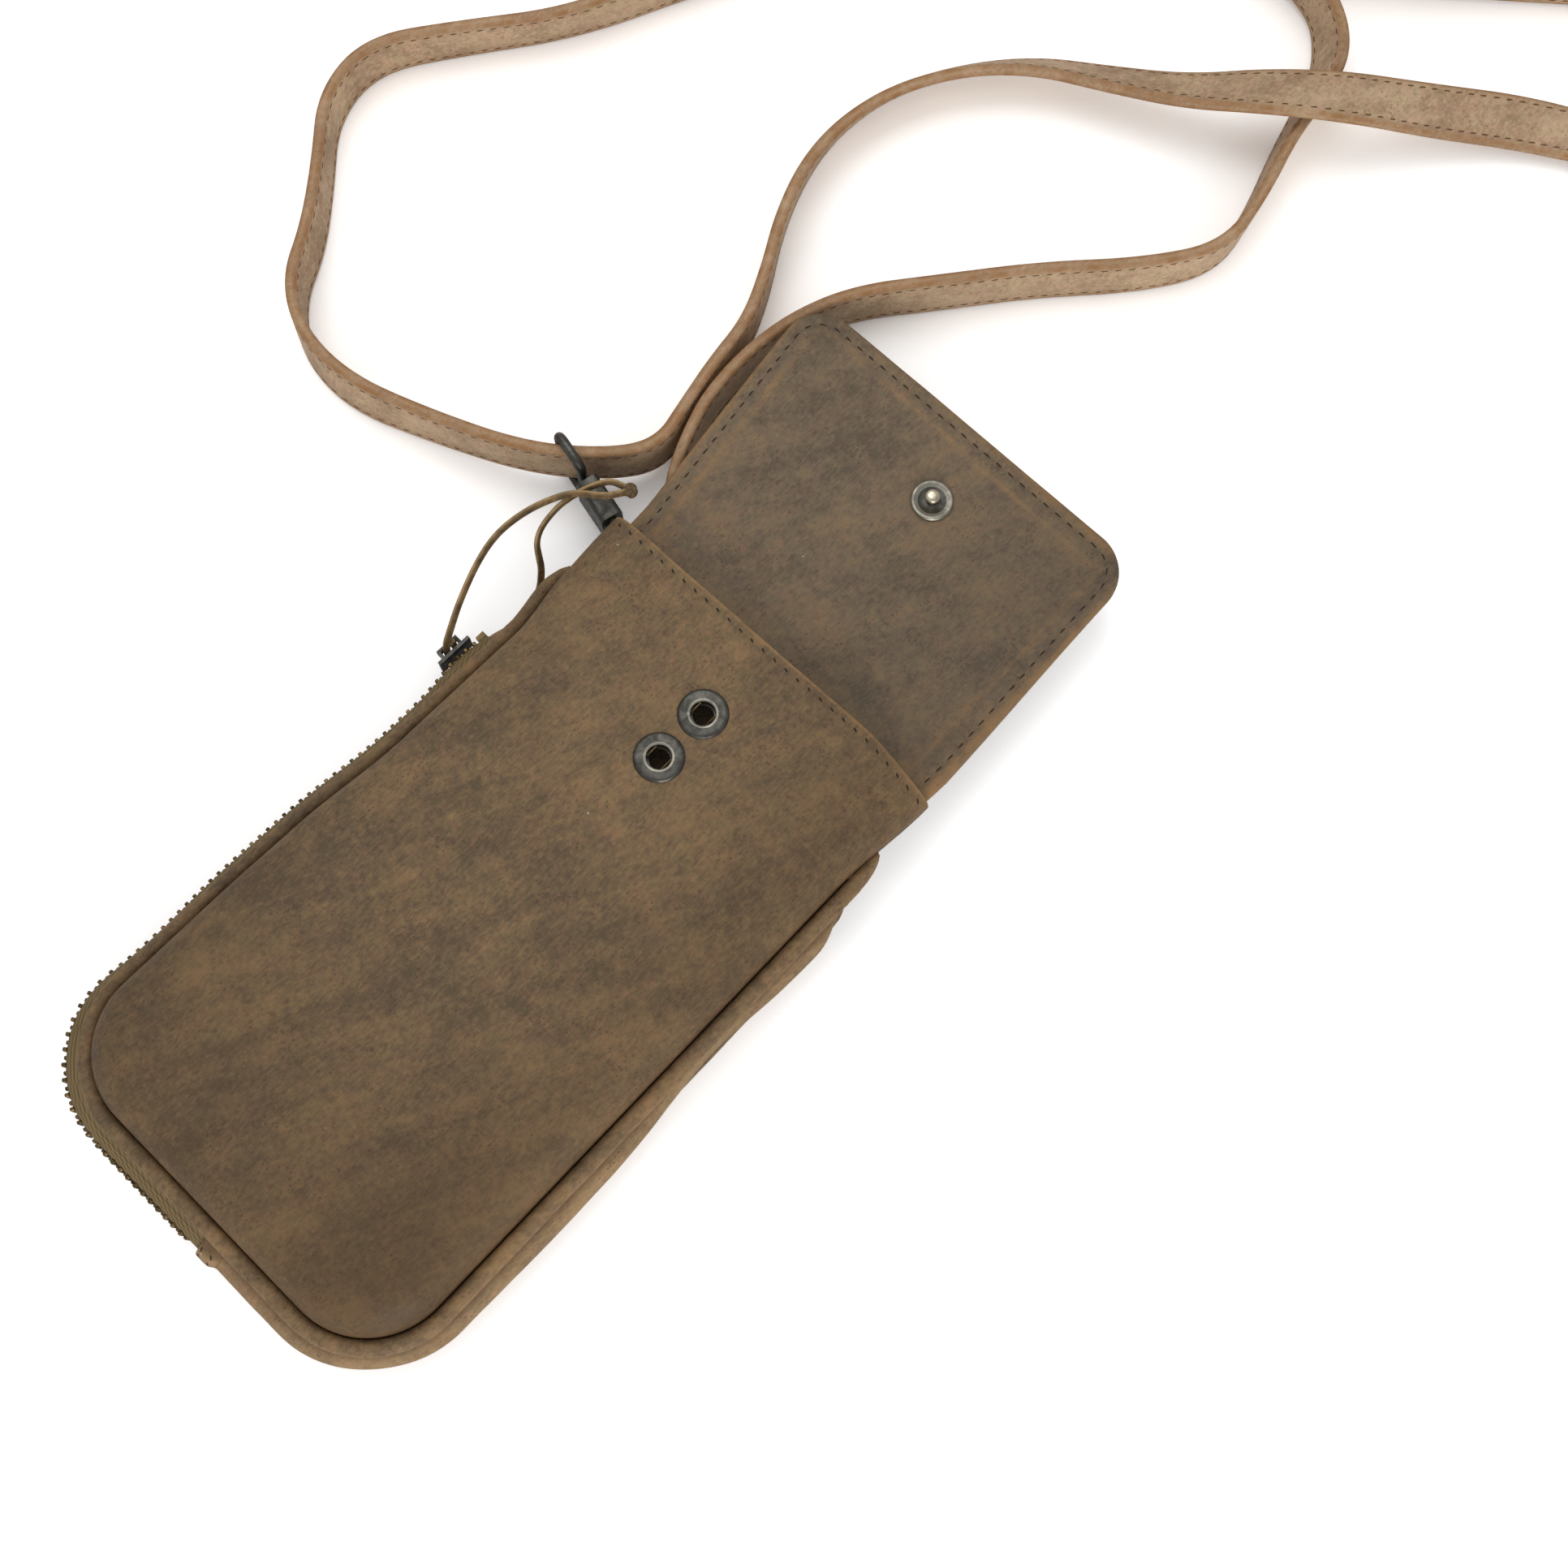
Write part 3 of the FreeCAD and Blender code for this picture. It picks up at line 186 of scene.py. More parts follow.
# shader helpers: a socket with operators, and one method for any node
class Value:
    def __init__(self, finish, socket):
        self.finish = finish
        self.socket = socket

    def combine(self, operation, first, second):
        return self.finish.node("Math", {0: first, 1: second}, operation=operation)

    def __add__(self, other):
        return self.combine("ADD", self, other)

    def __sub__(self, other):
        return self.combine("SUBTRACT", self, other)

    def __rsub__(self, other):
        return self.combine("SUBTRACT", other, self)

    def __mul__(self, other):
        return self.combine("MULTIPLY", self, other)

    __radd__ = __add__
    __rmul__ = __mul__


class Finish:
    def __init__(self, name, store=bpy.data.materials):
        self.holder = store.new(name)
        self.holder.use_nodes = True
        self.tree = self.holder.node_tree
        self.tree.nodes.clear()

    def node(self, kind, sockets, out=0, **settings):
        made = self.tree.nodes.new("ShaderNode" + kind)
        for key, value in settings.items():
            if key == "stops":
                ramp = made.color_ramp
                while len(ramp.elements) < len(value):
                    ramp.elements.new(0.5)
                for element, (place, colour) in zip(ramp.elements, value):
                    element.position = place
                    element.color = (*colour, 1)
            else:
                setattr(made, key, value)
        for key, value in sockets.items():
            if isinstance(value, Value):
                self.tree.links.new(value.socket, made.inputs[key])
            else:
                made.inputs[key].default_value = value
        return Value(self, made.outputs[out]) if made.outputs else None

    def noise(self, place, scale, detail, rough=0.55, distort=0.0):
        sockets = {"Vector": place, "Scale": scale, "Detail": detail, "Roughness": rough, "Distortion": distort}
        return self.node("TexNoise", sockets)

    def band(self, value, low, high, first=0.0, last=1.0):
        sockets = {"Value": value, "From Min": low, "From Max": high, "To Min": first, "To Max": last}
        return self.node("MapRange", sockets, interpolation_type="SMOOTHSTEP")

    def mix(self, share, first, second, blend="MIX"):
        colours = {}
        for key, colour in ((6, first), (7, second)):
            colours[key] = colour if isinstance(colour, Value) else (*colour, 1)
        return self.node("Mix", {0: share, **colours}, 2, data_type="RGBA", blend_type=blend)

    def attribute(self, name):
        return self.node("Attribute", {}, "Fac", attribute_name=name)

    def bump(self, strength, distance, height):
        return self.node("Bump", {"Strength": strength, "Distance": distance, "Height": height})

    def surface(self, sockets):
        shader = self.node("BsdfPrincipled", sockets)
        self.node("OutputMaterial", {"Surface": shader})
        return self.holder


def tint(red, green, blue):
    return tuple(((part / 255 + 0.055) / 1.055) ** 2.4 for part in (red, green, blue))


pouchTone = {
    "dark": tint(87, 72, 55), "low": tint(103, 84, 63), "main": tint(115, 94, 69), "warm": tint(131, 105, 75),
    "worn": tint(158, 121, 79), "pit": tint(62, 50, 39), "shade": tint(68, 49, 30), "fleck": tint(206, 196, 176),
    "green": (0.99, 1.03, 0.97), "red": (1.035, 0.985, 0.98), "patch": 24, "cloud": 88,
    "rough": 0.6, "gloss": 0.2, "relief": 0.3}
flapTone = dict(pouchTone, dark=tint(90, 78, 64), low=tint(105, 90, 74), main=tint(115, 98, 79),
                warm=tint(128, 106, 81), shade=tint(62, 53, 43), patch=30)
strapTone = dict(pouchTone, dark=tint(152, 125, 100), low=tint(171, 143, 116), main=tint(184, 157, 129),
                 warm=tint(195, 168, 139), worn=tint(146, 106, 68), pit=tint(104, 82, 62), patch=40, cloud=130)
gussetTone = dict(pouchTone, dark=tint(112, 91, 67), low=tint(128, 105, 78), main=tint(139, 115, 85),
                  warm=tint(152, 125, 92), patch=40)
laceTone = dict(pouchTone, dark=tint(72, 58, 41), low=tint(88, 71, 50), main=tint(102, 83, 59),
                warm=tint(130, 105, 72), worn=tint(176, 147, 103), patch=90, cloud=300)
leatherGrain = {
    "streak": {"Rotation": (0.0, 0.0, -0.45), "Scale": (0.0075, 0.036, 0.02)}, "blotch": 250, "speck": 760,
    "fibre": {"Scale": (1500, 430, 900)}, "hue": 260, "pores": 800, "poreClumps": 130, "fleck": 52,
    "scuff": {"Rotation": (0.0, 0.0, 0.5), "Scale": (14, 360, 60)}}


def startFinish(name):
    f = Finish(name)
    return f, f.node("TexCoord", {}, "Object")


def leatherFinish(name, tone):
    f, place = startFinish(name)
    grain = leatherGrain
    broad = f.noise(place, tone["patch"], 3, 0.55, 0.8)
    cloud = f.noise(place, tone["cloud"], 4, 0.6, 0.5)
    streak = f.node("Mapping", {"Vector": place, **grain["streak"]}, vector_type="TEXTURE")
    streak = f.noise(streak, 1.0, 4, 0.6, 0.4)
    blotch = f.noise(place, grain["blotch"], 4, 0.62, 0.3)
    speck = f.noise(place, grain["speck"], 3, 0.65)
    fibre = f.node("Mapping", {"Vector": place, **grain["fibre"]})
    fibre = f.noise(fibre, 1.0, 3, 0.65, 0.6)
    shade = broad * 0.16 + streak * 0.2 + cloud * 0.12 + blotch * 0.14 + speck * 0.17 + fibre * 0.21
    stops = [(0.43, tone["dark"]), (0.48, tone["low"]), (0.52, tone["main"]), (0.575, tone["warm"])]
    colour = f.node("ValToRGB", {"Fac": shade}, stops=stops)
    hue = f.mix(f.band(f.noise(place, grain["hue"], 4, 0.65, 0.6), 0.38, 0.62), tone["green"], tone["red"])
    colour = f.mix(1.0, colour, hue, "MULTIPLY")
    pores = f.node("TexVoronoi", {"Vector": place, "Scale": grain["pores"]})
    pores = f.band(pores, 0.12, 0.34, 1.0, 0.0) * f.band(f.noise(place, grain["poreClumps"], 3), 0.46, 0.62)
    fleck = f.node("TexVoronoi", {"Vector": place, "Scale": grain["fleck"]})
    fleck = f.band(fleck, 0.010, 0.017, 1.0, 0.0)
    scuff = f.node("Mapping", {"Vector": place, **grain["scuff"]})
    scuff = f.band(f.noise(scuff, 1.0, 3, 0.7), 0.66, 0.78)
    colour = f.mix(pores * 0.45, colour, tone["pit"])
    colour = f.mix(scuff * 0.2, colour, tone["worn"])
    worn = f.attribute("wear") * f.band(cloud + blotch, 0.8, 1.2, 0.45, 1.0)
    colour = f.mix(worn, colour, tone["worn"])
    # painted shade: each piece's fold share darkens its colour towards the shade tone
    colour = f.mix(f.attribute("fold"), colour, tone["shade"])
    colour = f.mix(fleck * 0.5, colour, tone["fleck"])
    height = speck * 0.6 + fibre * 0.4 + blotch * 0.7 - pores * 0.8
    normal = f.bump(tone["relief"], 0.0005, height)
    rough = f.band(cloud * 0.6 + speck * 0.4, 0.3, 0.7, tone["rough"] - 0.06, tone["rough"] + 0.1)
    return f.surface({"Base Color": colour, "Roughness": rough, "Specular IOR Level": tone["gloss"], "Normal": normal})


def metalFinish(name, pale, dark, rough):
    f, place = startFinish(name)
    cloud = f.noise(place, 380, 4, 0.6, 0.5)
    speck = f.noise(place, 2400, 3, 0.6)
    stain = f.band(cloud * 0.8 + speck * 0.2, 0.3, 0.72)
    colour = f.mix(stain, dark, pale)
    rough = f.band(cloud, 0.3, 0.7, rough + 0.1, rough - 0.06)
    return f.surface({"Base Color": colour, "Metallic": 1.0, "Roughness": rough,
                      "Normal": f.bump(0.05, 0.0001, speck + cloud)})


def threadFinish(name, colour):
    f, place = startFinish(name)
    twist = f.noise(place, 2600, 2)
    colour = f.mix(f.band(twist, 0.35, 0.65), tuple(part * 0.6 for part in colour), colour)
    return f.surface({"Base Color": colour, "Roughness": 0.75, "Specular IOR Level": 0.25,
                      "Normal": f.bump(0.3, 0.0001, twist)})


def wovenFinish(name, dark, pale):
    f, place = startFinish(name)
    rows = []
    for direction, scale in (("Z", 520), ("DIAGONAL", 300)):
        sockets = {"Vector": place, "Scale": scale, "Distortion": 0.6}
        rows.append(f.node("TexWave", sockets, bands_direction=direction))
    weave = rows[0] * 0.5 + rows[1] * 0.5
    cloud = f.noise(place, 160, 4)
    colour = f.mix(f.band(weave * 0.7 + cloud * 0.3, 0.25, 0.75), dark, pale)
    return f.surface({"Base Color": colour, "Roughness": 0.85, "Specular IOR Level": 0.2,
                      "Normal": f.bump(0.35, 0.0002, weave)})


pouchLeather = leatherFinish("pouchLeather", pouchTone)
flapLeather = leatherFinish("flapLeather", flapTone)
strapLeather = leatherFinish("strapLeather", strapTone)
gussetLeather = leatherFinish("gussetLeather", gussetTone)
laceLeather = leatherFinish("laceLeather", laceTone)
# the base nickel is dark from age, and made darker still as painted shade, since the hook lies in shade
agedAndShadedNickel = metalFinish("agedAndShadedNickel", tint(94, 92, 86), tint(66, 64, 60), 0.42)
# painted highlights: two paler nickels for the bright parts of the snap
nickelHighlight = metalFinish("nickelHighlight", tint(222, 214, 192), tint(164, 154, 134), 0.26)
nickelSoftHighlight = metalFinish("nickelSoftHighlight", tint(158, 154, 142), tint(124, 120, 110), 0.44)
agedBrass = metalFinish("agedBrass", tint(120, 100, 68), tint(52, 43, 31), 0.38)
darkThread = threadFinish("darkThread", tint(60, 47, 34))
hemThread = threadFinish("hemThread", tint(50, 39, 28))
strapThread = threadFinish("strapThread", tint(112, 84, 58))
zipCloth = wovenFinish("zipCloth", tint(94, 78, 52), tint(126, 107, 74))
print("finishes made")


# cords: the route's points as control points of one smooth spline
def splinePoints(name, points, steps):
    data = bpy.data.curves.new(name, "CURVE")
    data.dimensions = "3D"
    data.resolution_u = steps
    spline = data.splines.new("NURBS")
    spline.points.add(len(points) - 1)
    for point, place in zip(spline.points, points):
        point.co = (*place, 1)
    spline.order_u = 3
    spline.use_endpoint_u = True
    holder = addObject(name, data)
    bpy.context.view_layer.update()
    mesh = bpy.data.meshes.new_from_object(holder)
    line = [vertex.co.copy() for vertex in mesh.vertices]
    bpy.data.meshes.remove(mesh)
    bpy.data.objects.remove(holder)
    bpy.data.curves.remove(data)
    return line


def cordFrames(name, route, steps):
    line = splinePoints(name, [(x * mm, y * mm, z * mm) for x, y, z, roll in route], steps)
    rolls = splinePoints(name, [(place[3] * mm, 0, 0) for place in route], steps)
    frames = []
    for index, point in enumerate(line):
        ahead = line[min(index + 1, len(line) - 1)] - line[max(index - 1, 0)]
        ahead.normalize()
        side = upAxis.cross(ahead).normalized()
        rise = ahead.cross(side)
        roll = math.radians(rolls[index].x / mm)
        across = side * math.cos(roll) + rise * math.sin(roll)
        through = rise * math.cos(roll) - side * math.sin(roll)
        frames.append((point, ahead, across, through))
    return line, frames


def lineLength(line):
    return sum((b - a).length for a, b in zip(line, line[1:]))


def ringRows(frames, sections):
    rows = []
    for (point, ahead, across, through), section in zip(frames, sections):
        ring = [tuple(point / mm + across * a + through * b) for a, b in section]
        rows.append(ring + ring[:1])
    return rows


def turns(parts):
    return [2 * math.pi * part / parts for part in range(parts)]


def squareTo(ahead, out):
    out = (out - ahead * out.dot(ahead)).normalized()
    return out, ahead.cross(out)


def bandPiece(name, frames, section, worn, endWear=0.3):
    size = len(section) + 1
    caps = [[tuple(frames[end][0] / mm)] * size for end in (0, -1)]
    piece = gridPiece(name, caps[:1] + ringRows(frames, [section] * len(frames)) + caps[1:])
    capWear = [endWear] * size
    setValues(piece, "wear", capWear + (worn + worn[:1]) * len(frames) + capWear)
    closeSeams(piece)
    return piece


strapSetup = {
    "steps": 8, "stitchPitch": 3.6, "stitchAcross": 5.6, "stitchThrough": 1.4,
    # a quarter of the section: two layers with a groove at each stitch row and edge
    "quarter": [(7.5, 0.5), (7.45, 1.05), (7.05, 1.45), (6.3, 1.5), (5.6, 1.36), (4.9, 1.5), (2.5, 1.54)],
    "wear": [0.8, 1.0, 0.9, 0.35, 0.15, 0.1, 0], "edgeGroove": (-7.34, 0), "grooveWear": 0.5,
    "route": [
        (20.5, 88, 5.2, 0), (6, 88.3, 5.2, 0), (-14, 91, 5.3, 0), (-32, 99.5, 5.2, 4), (-47.5, 110.5, 7.3, 44),
        (-56.8, 120.5, 7.9, 86), (-61.8, 133, 7.8, 90), (-63, 149, 7.8, 90), (-61, 165, 7.8, 90),
        (-54.5, 181, 7.8, 90), (-41.2, 197.7, 7.8, 88), (-24.8, 218.9, 7.8, 89), (-6.3, 238.7, 7.8, 90),
        (5.5, 257.2, 7.8, 93), (1.6, 276.7, 7.8, 97), (-4, 293.5, 7.6, 100), (-7.6, 310.8, 7.2, 112),
        (-12.6, 324.9, 7.4, 112), (-26, 334.5, 9, 90), (-48, 334.5, 10.4, 90), (-77, 325.5, 10.4, 90),
        (-106, 300, 8.6, 90), (-133, 263, 7.8, 90), (-152, 224, 7.8, 90), (-165.8, 188.6, 7.8, 80),
        (-184.8, 163.2, 7.8, 84), (-198.4, 143.1, 7.8, 88), (-195.3, 124.2, 7.8, 91), (-181.3, 109.2, 7.8, 92),
        (-169.6, 94.8, 7.8, 95), (-162.3, 81.1, 7.8, 93), (-149.6, 72.7, 7.8, 86), (-131.2, 71.5, 7.8, 82),
        (-110, 78.9, 8.6, 87), (-83.2, 89.9, 11.4, 90), (-66.2, 104.2, 11.4, 90), (-60.8, 115, 9.6, 90),
        (-64, 127, 8, 90), (-67.2, 141, 7.8, 90), (-69, 155, 7.8, 90), (-75.6, 168.7, 7.8, 91),
        (-84.4, 182.8, 7.8, 94), (-91, 199, 7.8, 99), (-93.3, 216, 7.6, 109), (-90.2, 234.3, 7.4, 118),
        (-80.4, 252.2, 7.4, 123), (-67, 266.3, 7.6, 132), (-50.7, 275.5, 9, 141), (-32.1, 284.9, 13, 151),
        (-15.7, 295.7, 19, 163), (1.1, 310, 18.6, 175), (18.3, 328.2, 10, 184), (37.5, 346.6, 4.4, 186),
        (60, 359, 4, 172), (78, 373, 7.2, 135), (88.5, 389, 7.9, 94), (88, 406, 7.8, 90), (75, 415, 7.8, 90),
        (56, 411, 7.8, 90), (32, 396.5, 7.8, 90), (6, 373.5, 8.4, 90), (-17, 354, 9.4, 90),
        (-39, 342.1, 10.4, 90), (-61, 335.3, 10.4, 90)]}
strapLine, strapFrames = cordFrames("strapLine", strapSetup["route"], strapSetup["steps"])
half = strapSetup["quarter"] + [(-a, b) for a, b in strapSetup["quarter"][::-1]] + [strapSetup["edgeGroove"]]
halfWear = strapSetup["wear"] + strapSetup["wear"][::-1] + [strapSetup["grooveWear"]]
strap = bandPiece("shoulderStrap", strapFrames, half + [(-a, -b) for a, b in half], halfWear * 2)
print("strap length %.3f m" % lineLength(strapLine))

laceSetup = {
    "steps": 10,
    "outer": [(-61, 39.8, 7, 0), (-61, 39.8, 14.3, 20), (-62.8, 43.8, 16.3, 50), (-66.6, 50.8, 16.4, 62),
              (-70.5, 61, 17.5, 64), (-71.6, 69, 19.5, 64), (-70.2, 77, 21, 64), (-67.6, 83.5, 22.2, 64),
              (-64.4, 89.2, 22.6, 64), (-58.2, 93.4, 22.9, 62), (-55.67, 96.81, 23.2, 60), (-55, 98.2, 23.2, 60)],
    "inner": [(-61, 42.2, 13.8, 0), (-60.6, 42.2, 6, 0), (-57.6, 46.5, 2.6, 0), (-56.8, 60, 2.4, 0),
              (-57.4, 67.5, 4.5, 20), (-59.6, 71.5, 11, 30), (-61.2, 72.6, 15.5, 40), (-63.6, 74.4, 17.8, 70),
              (-65, 78.1, 19.5, 80), (-65.4, 83.8, 20.3, 80), (-65.1, 87.4, 20.1, 80), (-63.8, 91.8, 20.9, 75),
              (-60.5, 97.2, 22.8, 70), (-56.92, 98.51, 23.2, 60), (-55.4, 98.8, 23.2, 60)],
    "half": [(0.9, 0.15), (0.78, 0.42), (0, 0.5), (-0.78, 0.42), (-0.9, 0.15)], "wear": [0.9, 0.4, 0.0, 0.2, 0.6]}
laceSection = laceSetup["half"] + [(-a, -b) for a, b in laceSetup["half"]]
laceWear = laceSetup["wear"] + laceSetup["wear"][::-1]
laces = {}
for strand in ("outer", "inner"):
    line, frames = cordFrames("laceLine", laceSetup[strand], laceSetup["steps"])
    laces[strand] = bandPiece(strand + "Lace", frames, laceSection, laceWear), line
    print(strand, "lace length %.3f m" % lineLength(line))


# sheets that follow an outline: a side, a rounded corner, an end, and the same again mirrored
def outlineOf(shape):
    sign = 1 if shape["endY"] > shape["topY"] else -1
    top = Vector((-shape["topHalf"], shape["topY"]))
    corner = Vector((-shape["endHalf"], shape["endY"]))
    down = (corner - top).normalized()
    outward = Vector((-abs(down.y), sign * down.x))
    endward = Vector((0, sign))
    turn = math.acos(outward.dot(endward))
    centre = corner - (outward + endward) * (shape["corner"] / (1 + outward.dot(endward)))
    sideEnd = centre + outward * shape["corner"]
    endStart = centre + endward * shape["corner"]
    half = []
    for index in range(shape["side"]):
        half.append((top.lerp(sideEnd, index / shape["side"]), Vector((1 / outward.x, 0))))
    for index in range(shape["arc"] + 1):
        angle = turn * index / shape["arc"]
        normal = (outward * math.sin(turn - angle) + endward * math.sin(angle)) / math.sin(turn)
        half.append((centre + normal * shape["corner"], normal))
    for index in range(1, shape["end"] + 1):
        half.append((endStart.lerp(Vector((0, shape["endY"])), index / shape["end"]), endward))
    mirrored = [(Vector((-place.x, place.y)), Vector((-normal.x, normal.y))) for place, normal in half[-2::-1]]
    return half + mirrored


def profileRows(outline, profile):
    return [[(*(place + normal * offset), height) for place, normal in outline] for offset, height in profile]


def fillRows(inner, count, spineEnd):
    top = inner[0][1]
    far = max((point[1] for point in inner), key=lambda y: abs(y - top))
    stretch = (spineEnd - top) / (far - top)
    rows = []
    for level in range(1, count + 1):
        share = level / count
        rows.append([(x * (1 - share), y + (top + (y - top) * stretch - y) * share, z) for x, y, z in inner])
    return rows


pouchShape = {"topY": 90, "topHalf": 51.0, "endY": -92.5, "endHalf": 53.2, "slope": 0.012055, "corner": 22,
              "side": 90, "arc": 26, "end": 22}
pouchOutline = outlineOf(pouchShape)


def seamBow(x, y):
    # how far the sewn left edge stands inside its straight line
    return (2.2 * ease(-18, 16, y) * ease(70, 54, y) - 0.5 * ease(-14, -40, y)) * ease(-22, -46, x)


def edgeInset(x, y):
    # distance inside the pouch's outline, good enough for wear and dents
    radius = pouchShape["corner"]
    side = pouchShape["topHalf"] + (pouchShape["topY"] - y) * pouchShape["slope"] - abs(x)
    low = y - pouchShape["endY"]
    if side < radius and low < radius:
        return radius - math.hypot(radius - side, radius - low)
    return min(side, low)


def panelPiece(name, outline, setup, facing):
    rows = profileRows(outline, setup["profile"])
    rows += fillRows(rows[-1], setup["fill"], setup["spineEnd"])
    piece = gridPiece(name, rows)
    closeSeams(piece)
    faceSheet(piece, lambda centre: upAxis * facing)
    return piece


def thicken(piece, setup, offset=-1, **settings):
    # a sheet's leather and its softened cut edge
    modify(piece, "SOLIDIFY", thickness=setup["leather"] * mm, offset=offset, **settings)
    modify(piece, "BEVEL", width=setup["edge"] * mm, segments=setup["cuts"], limit_method="ANGLE",
           angle_limit=math.radians(setup["crease"]))


# front of the phone pocket: domed, with a turned hem at the mouth
frontSetup = {
    "profile": [(-0.2, 19.1), (-0.22, 20.3), (-0.5, 21.9), (-1.1, 23.5), (-2.1, 25.0), (-3.6, 26.3), (-5.6, 27.3),
                (-8, 28.0), (-11, 28.5), (-14.5, 28.85), (-19, 29.0)],
    "fill": 14, "spineEnd": -36, "leather": 2.8, "thin": 0.57, "edge": 0.6, "cuts": 3, "crease": 55, "mouth": 90,
    "fineFrom": 79, "hemFrom": 81.9, "hemRise": 0.25, "sag": 0.35, "flareRight": 2.2, "flareLeft": 1.9,
    "waves": [(0.55, 46, 3.1), (0.22, 17, 1.7), (0.06, 6, 0.4)], "sockets": (54.4, 69.3),
    "stitchDrop": 1.9, "stitchPitch": 3.7, "groove": 0.22}
frontPanel = panelPiece("frontPanel", pouchOutline, frontSetup, 1)


def mouthLift(x):
    return 2.7 + 0.03 * x - 2.2 * ease(30, 51, x) + 0.6 * ease(-30, -51, x)


def frontForm(x, y, z):
    setup = frontSetup
    drop = setup["mouth"] - y
    soft = ease(3, 16, edgeInset(x, y))
    soft *= min(ease(6.5, 14, math.hypot(x, y - socket)) for socket in setup["sockets"])
    z += soft * waves(x, y, 0, setup["waves"])
    z -= soft * setup["sag"] * ease(70, 40, y) * ease(-60, -20, y)
    z += soft * setup["hemRise"] * (ease(-1, 2, drop) - ease(6.5, 9, drop))
    z -= soft * setup["groove"] * hump(setup["stitchDrop"], 0.5, drop)
    flare = setup["flareRight"] * ease(34, 51, x) - setup["flareLeft"] * ease(-34, -51, x)
    return x + flare * ease(62, 90, y) + seamBow(x, y), y + mouthLift(x) * ease(58, 90, y), z


with editing(frontPanel):
    bpy.ops.mesh.select_all(action="DESELECT")
for polygon in frontPanel.data.polygons:
    polygon.select = polygon.center.y > frontSetup["fineFrom"] * mm
with editing(frontPanel, everything=False):
    bpy.ops.mesh.subdivide(number_cuts=3, smoothness=0)
sculpt(frontPanel, frontForm)
hemGroup = frontPanel.vertex_groups.new(name="hem")
for vertex in frontPanel.data.vertices:
    inHem = vertex.co.y / mm - mouthLift(vertex.co.x / mm) > frontSetup["hemFrom"]
    hemGroup.add([vertex.index], 1.0 if inHem else frontSetup["thin"], "REPLACE")
# painted shade: the front is darkened in the seam's crease beside the piping, and painted darker towards the bottom and
# the right
paint(frontPanel, "fold", lambda x, y, z: 0.75 * ease(20.9, 19.6, z) + 0.32 * ease(0, -80, y) + 0.3 * ease(0, 48, x))
paint(frontPanel, "wear", lambda x, y, z: (
    0.7 * ease(88.9, 89.9, y - mouthLift(x)) + 0.25 * ease(2.2, 0.6, edgeInset(x, y)) * ease(25, 20, z)))
thicken(frontPanel, frontSetup, vertex_group="hem", use_even_offset=True)
dress(frontPanel, pouchLeather, "pouch", ["front_panel"])

# back of the zipped compartment: flat on the table, rising to the flap's root
backSetup = {
    "profile": [(-0.3, 1.0), (-0.6, 0.45), (-1.6, 0.16), (-4, 0.04), (-10, 0), (-19, 0)], "fill": 8, "spineEnd": -36,
    "leather": 1.5, "edge": 0.4, "cuts": 2, "crease": 60, "bend": 50, "bendHalf": 5, "riseEnd": 72, "rise": 14.2,
    "life": 0.12}
backPanel = panelPiece("backPanel", outlineOf(dict(pouchShape, topY=78, topHalf=51.14)), backSetup, -1)


def backRise(y):
    bend, half = backSetup["bend"], backSetup["bendHalf"]
    slope = backSetup["rise"] / (backSetup["riseEnd"] - bend)
    if y < bend + half:
        return slope * ease(bend - half, bend + half, y) * (y - bend)
    return slope * (min(y, backSetup["riseEnd"]) - bend)


def backForm(x, y, z):
    life = backSetup["life"] * (1 + ripple(x, y, 0, 30, 5.0)) * ease(4, 12, edgeInset(x, y)) * ease(48, 40, y)
    return x + seamBow(x, y), y, z + max(0.0, backRise(y)) + life


sculpt(backPanel, backForm)
paint(backPanel, "wear", lambda x, y, z: (
    0.5 * ease(2.5, 0.5, edgeInset(x, y)) + 0.25 * ease(42, 54, y) * ease(64, 54, y)))
thicken(backPanel, backSetup, use_even_offset=True)
dress(backPanel, pouchLeather, "pouch", ["back_panel"])

# wall between the compartment and the pocket
dividerSetup = {"profile": [(-0.3, 19), (-1.2, 19), (-5, 19), (-19, 19)], "fill": 6, "spineEnd": -36,
                "leather": 1.6, "edge": 0.5, "cuts": 2, "crease": 60}
dividerPanel = panelPiece("dividerPanel", outlineOf(dict(pouchShape, topY=89.9)), dividerSetup, 1)
sculpt(dividerPanel, lambda x, y, z: (x + seamBow(x, y), y, z))
paint(dividerPanel, "wear", lambda x, y, z: 0.4 * ease(2, 0.4, edgeInset(x, y)))
thicken(dividerPanel, dividerSetup, use_even_offset=True)
dress(dividerPanel, flapLeather, "pouch", ["divider_panel"])
print("panels made")

# piping: a cord under leather in each seam, with the small wrinkles of a pulled-round strip
fineOutline = [(place + Vector((seamBow(place.x, place.y), 0)), normal)
               for place, normal in outlineOf(dict(pouchShape, side=150, arc=60, end=44))]
# slope of the seam where it follows the back's rise
seamRise = 0.645
pipingSetup = {
    "zipSide": 1.75, "radius": 2.05, "sides": 16, "tip": 0.02, "smoothUnder": 1.2, "wrinkle": 0.045, "swell": 0.05,
    "runs": [("front", 76.5, 18.85, 0, (10, 12), 2.0), ("back", 64, 2.2, seamRise, (6, 6), 7.0)]}


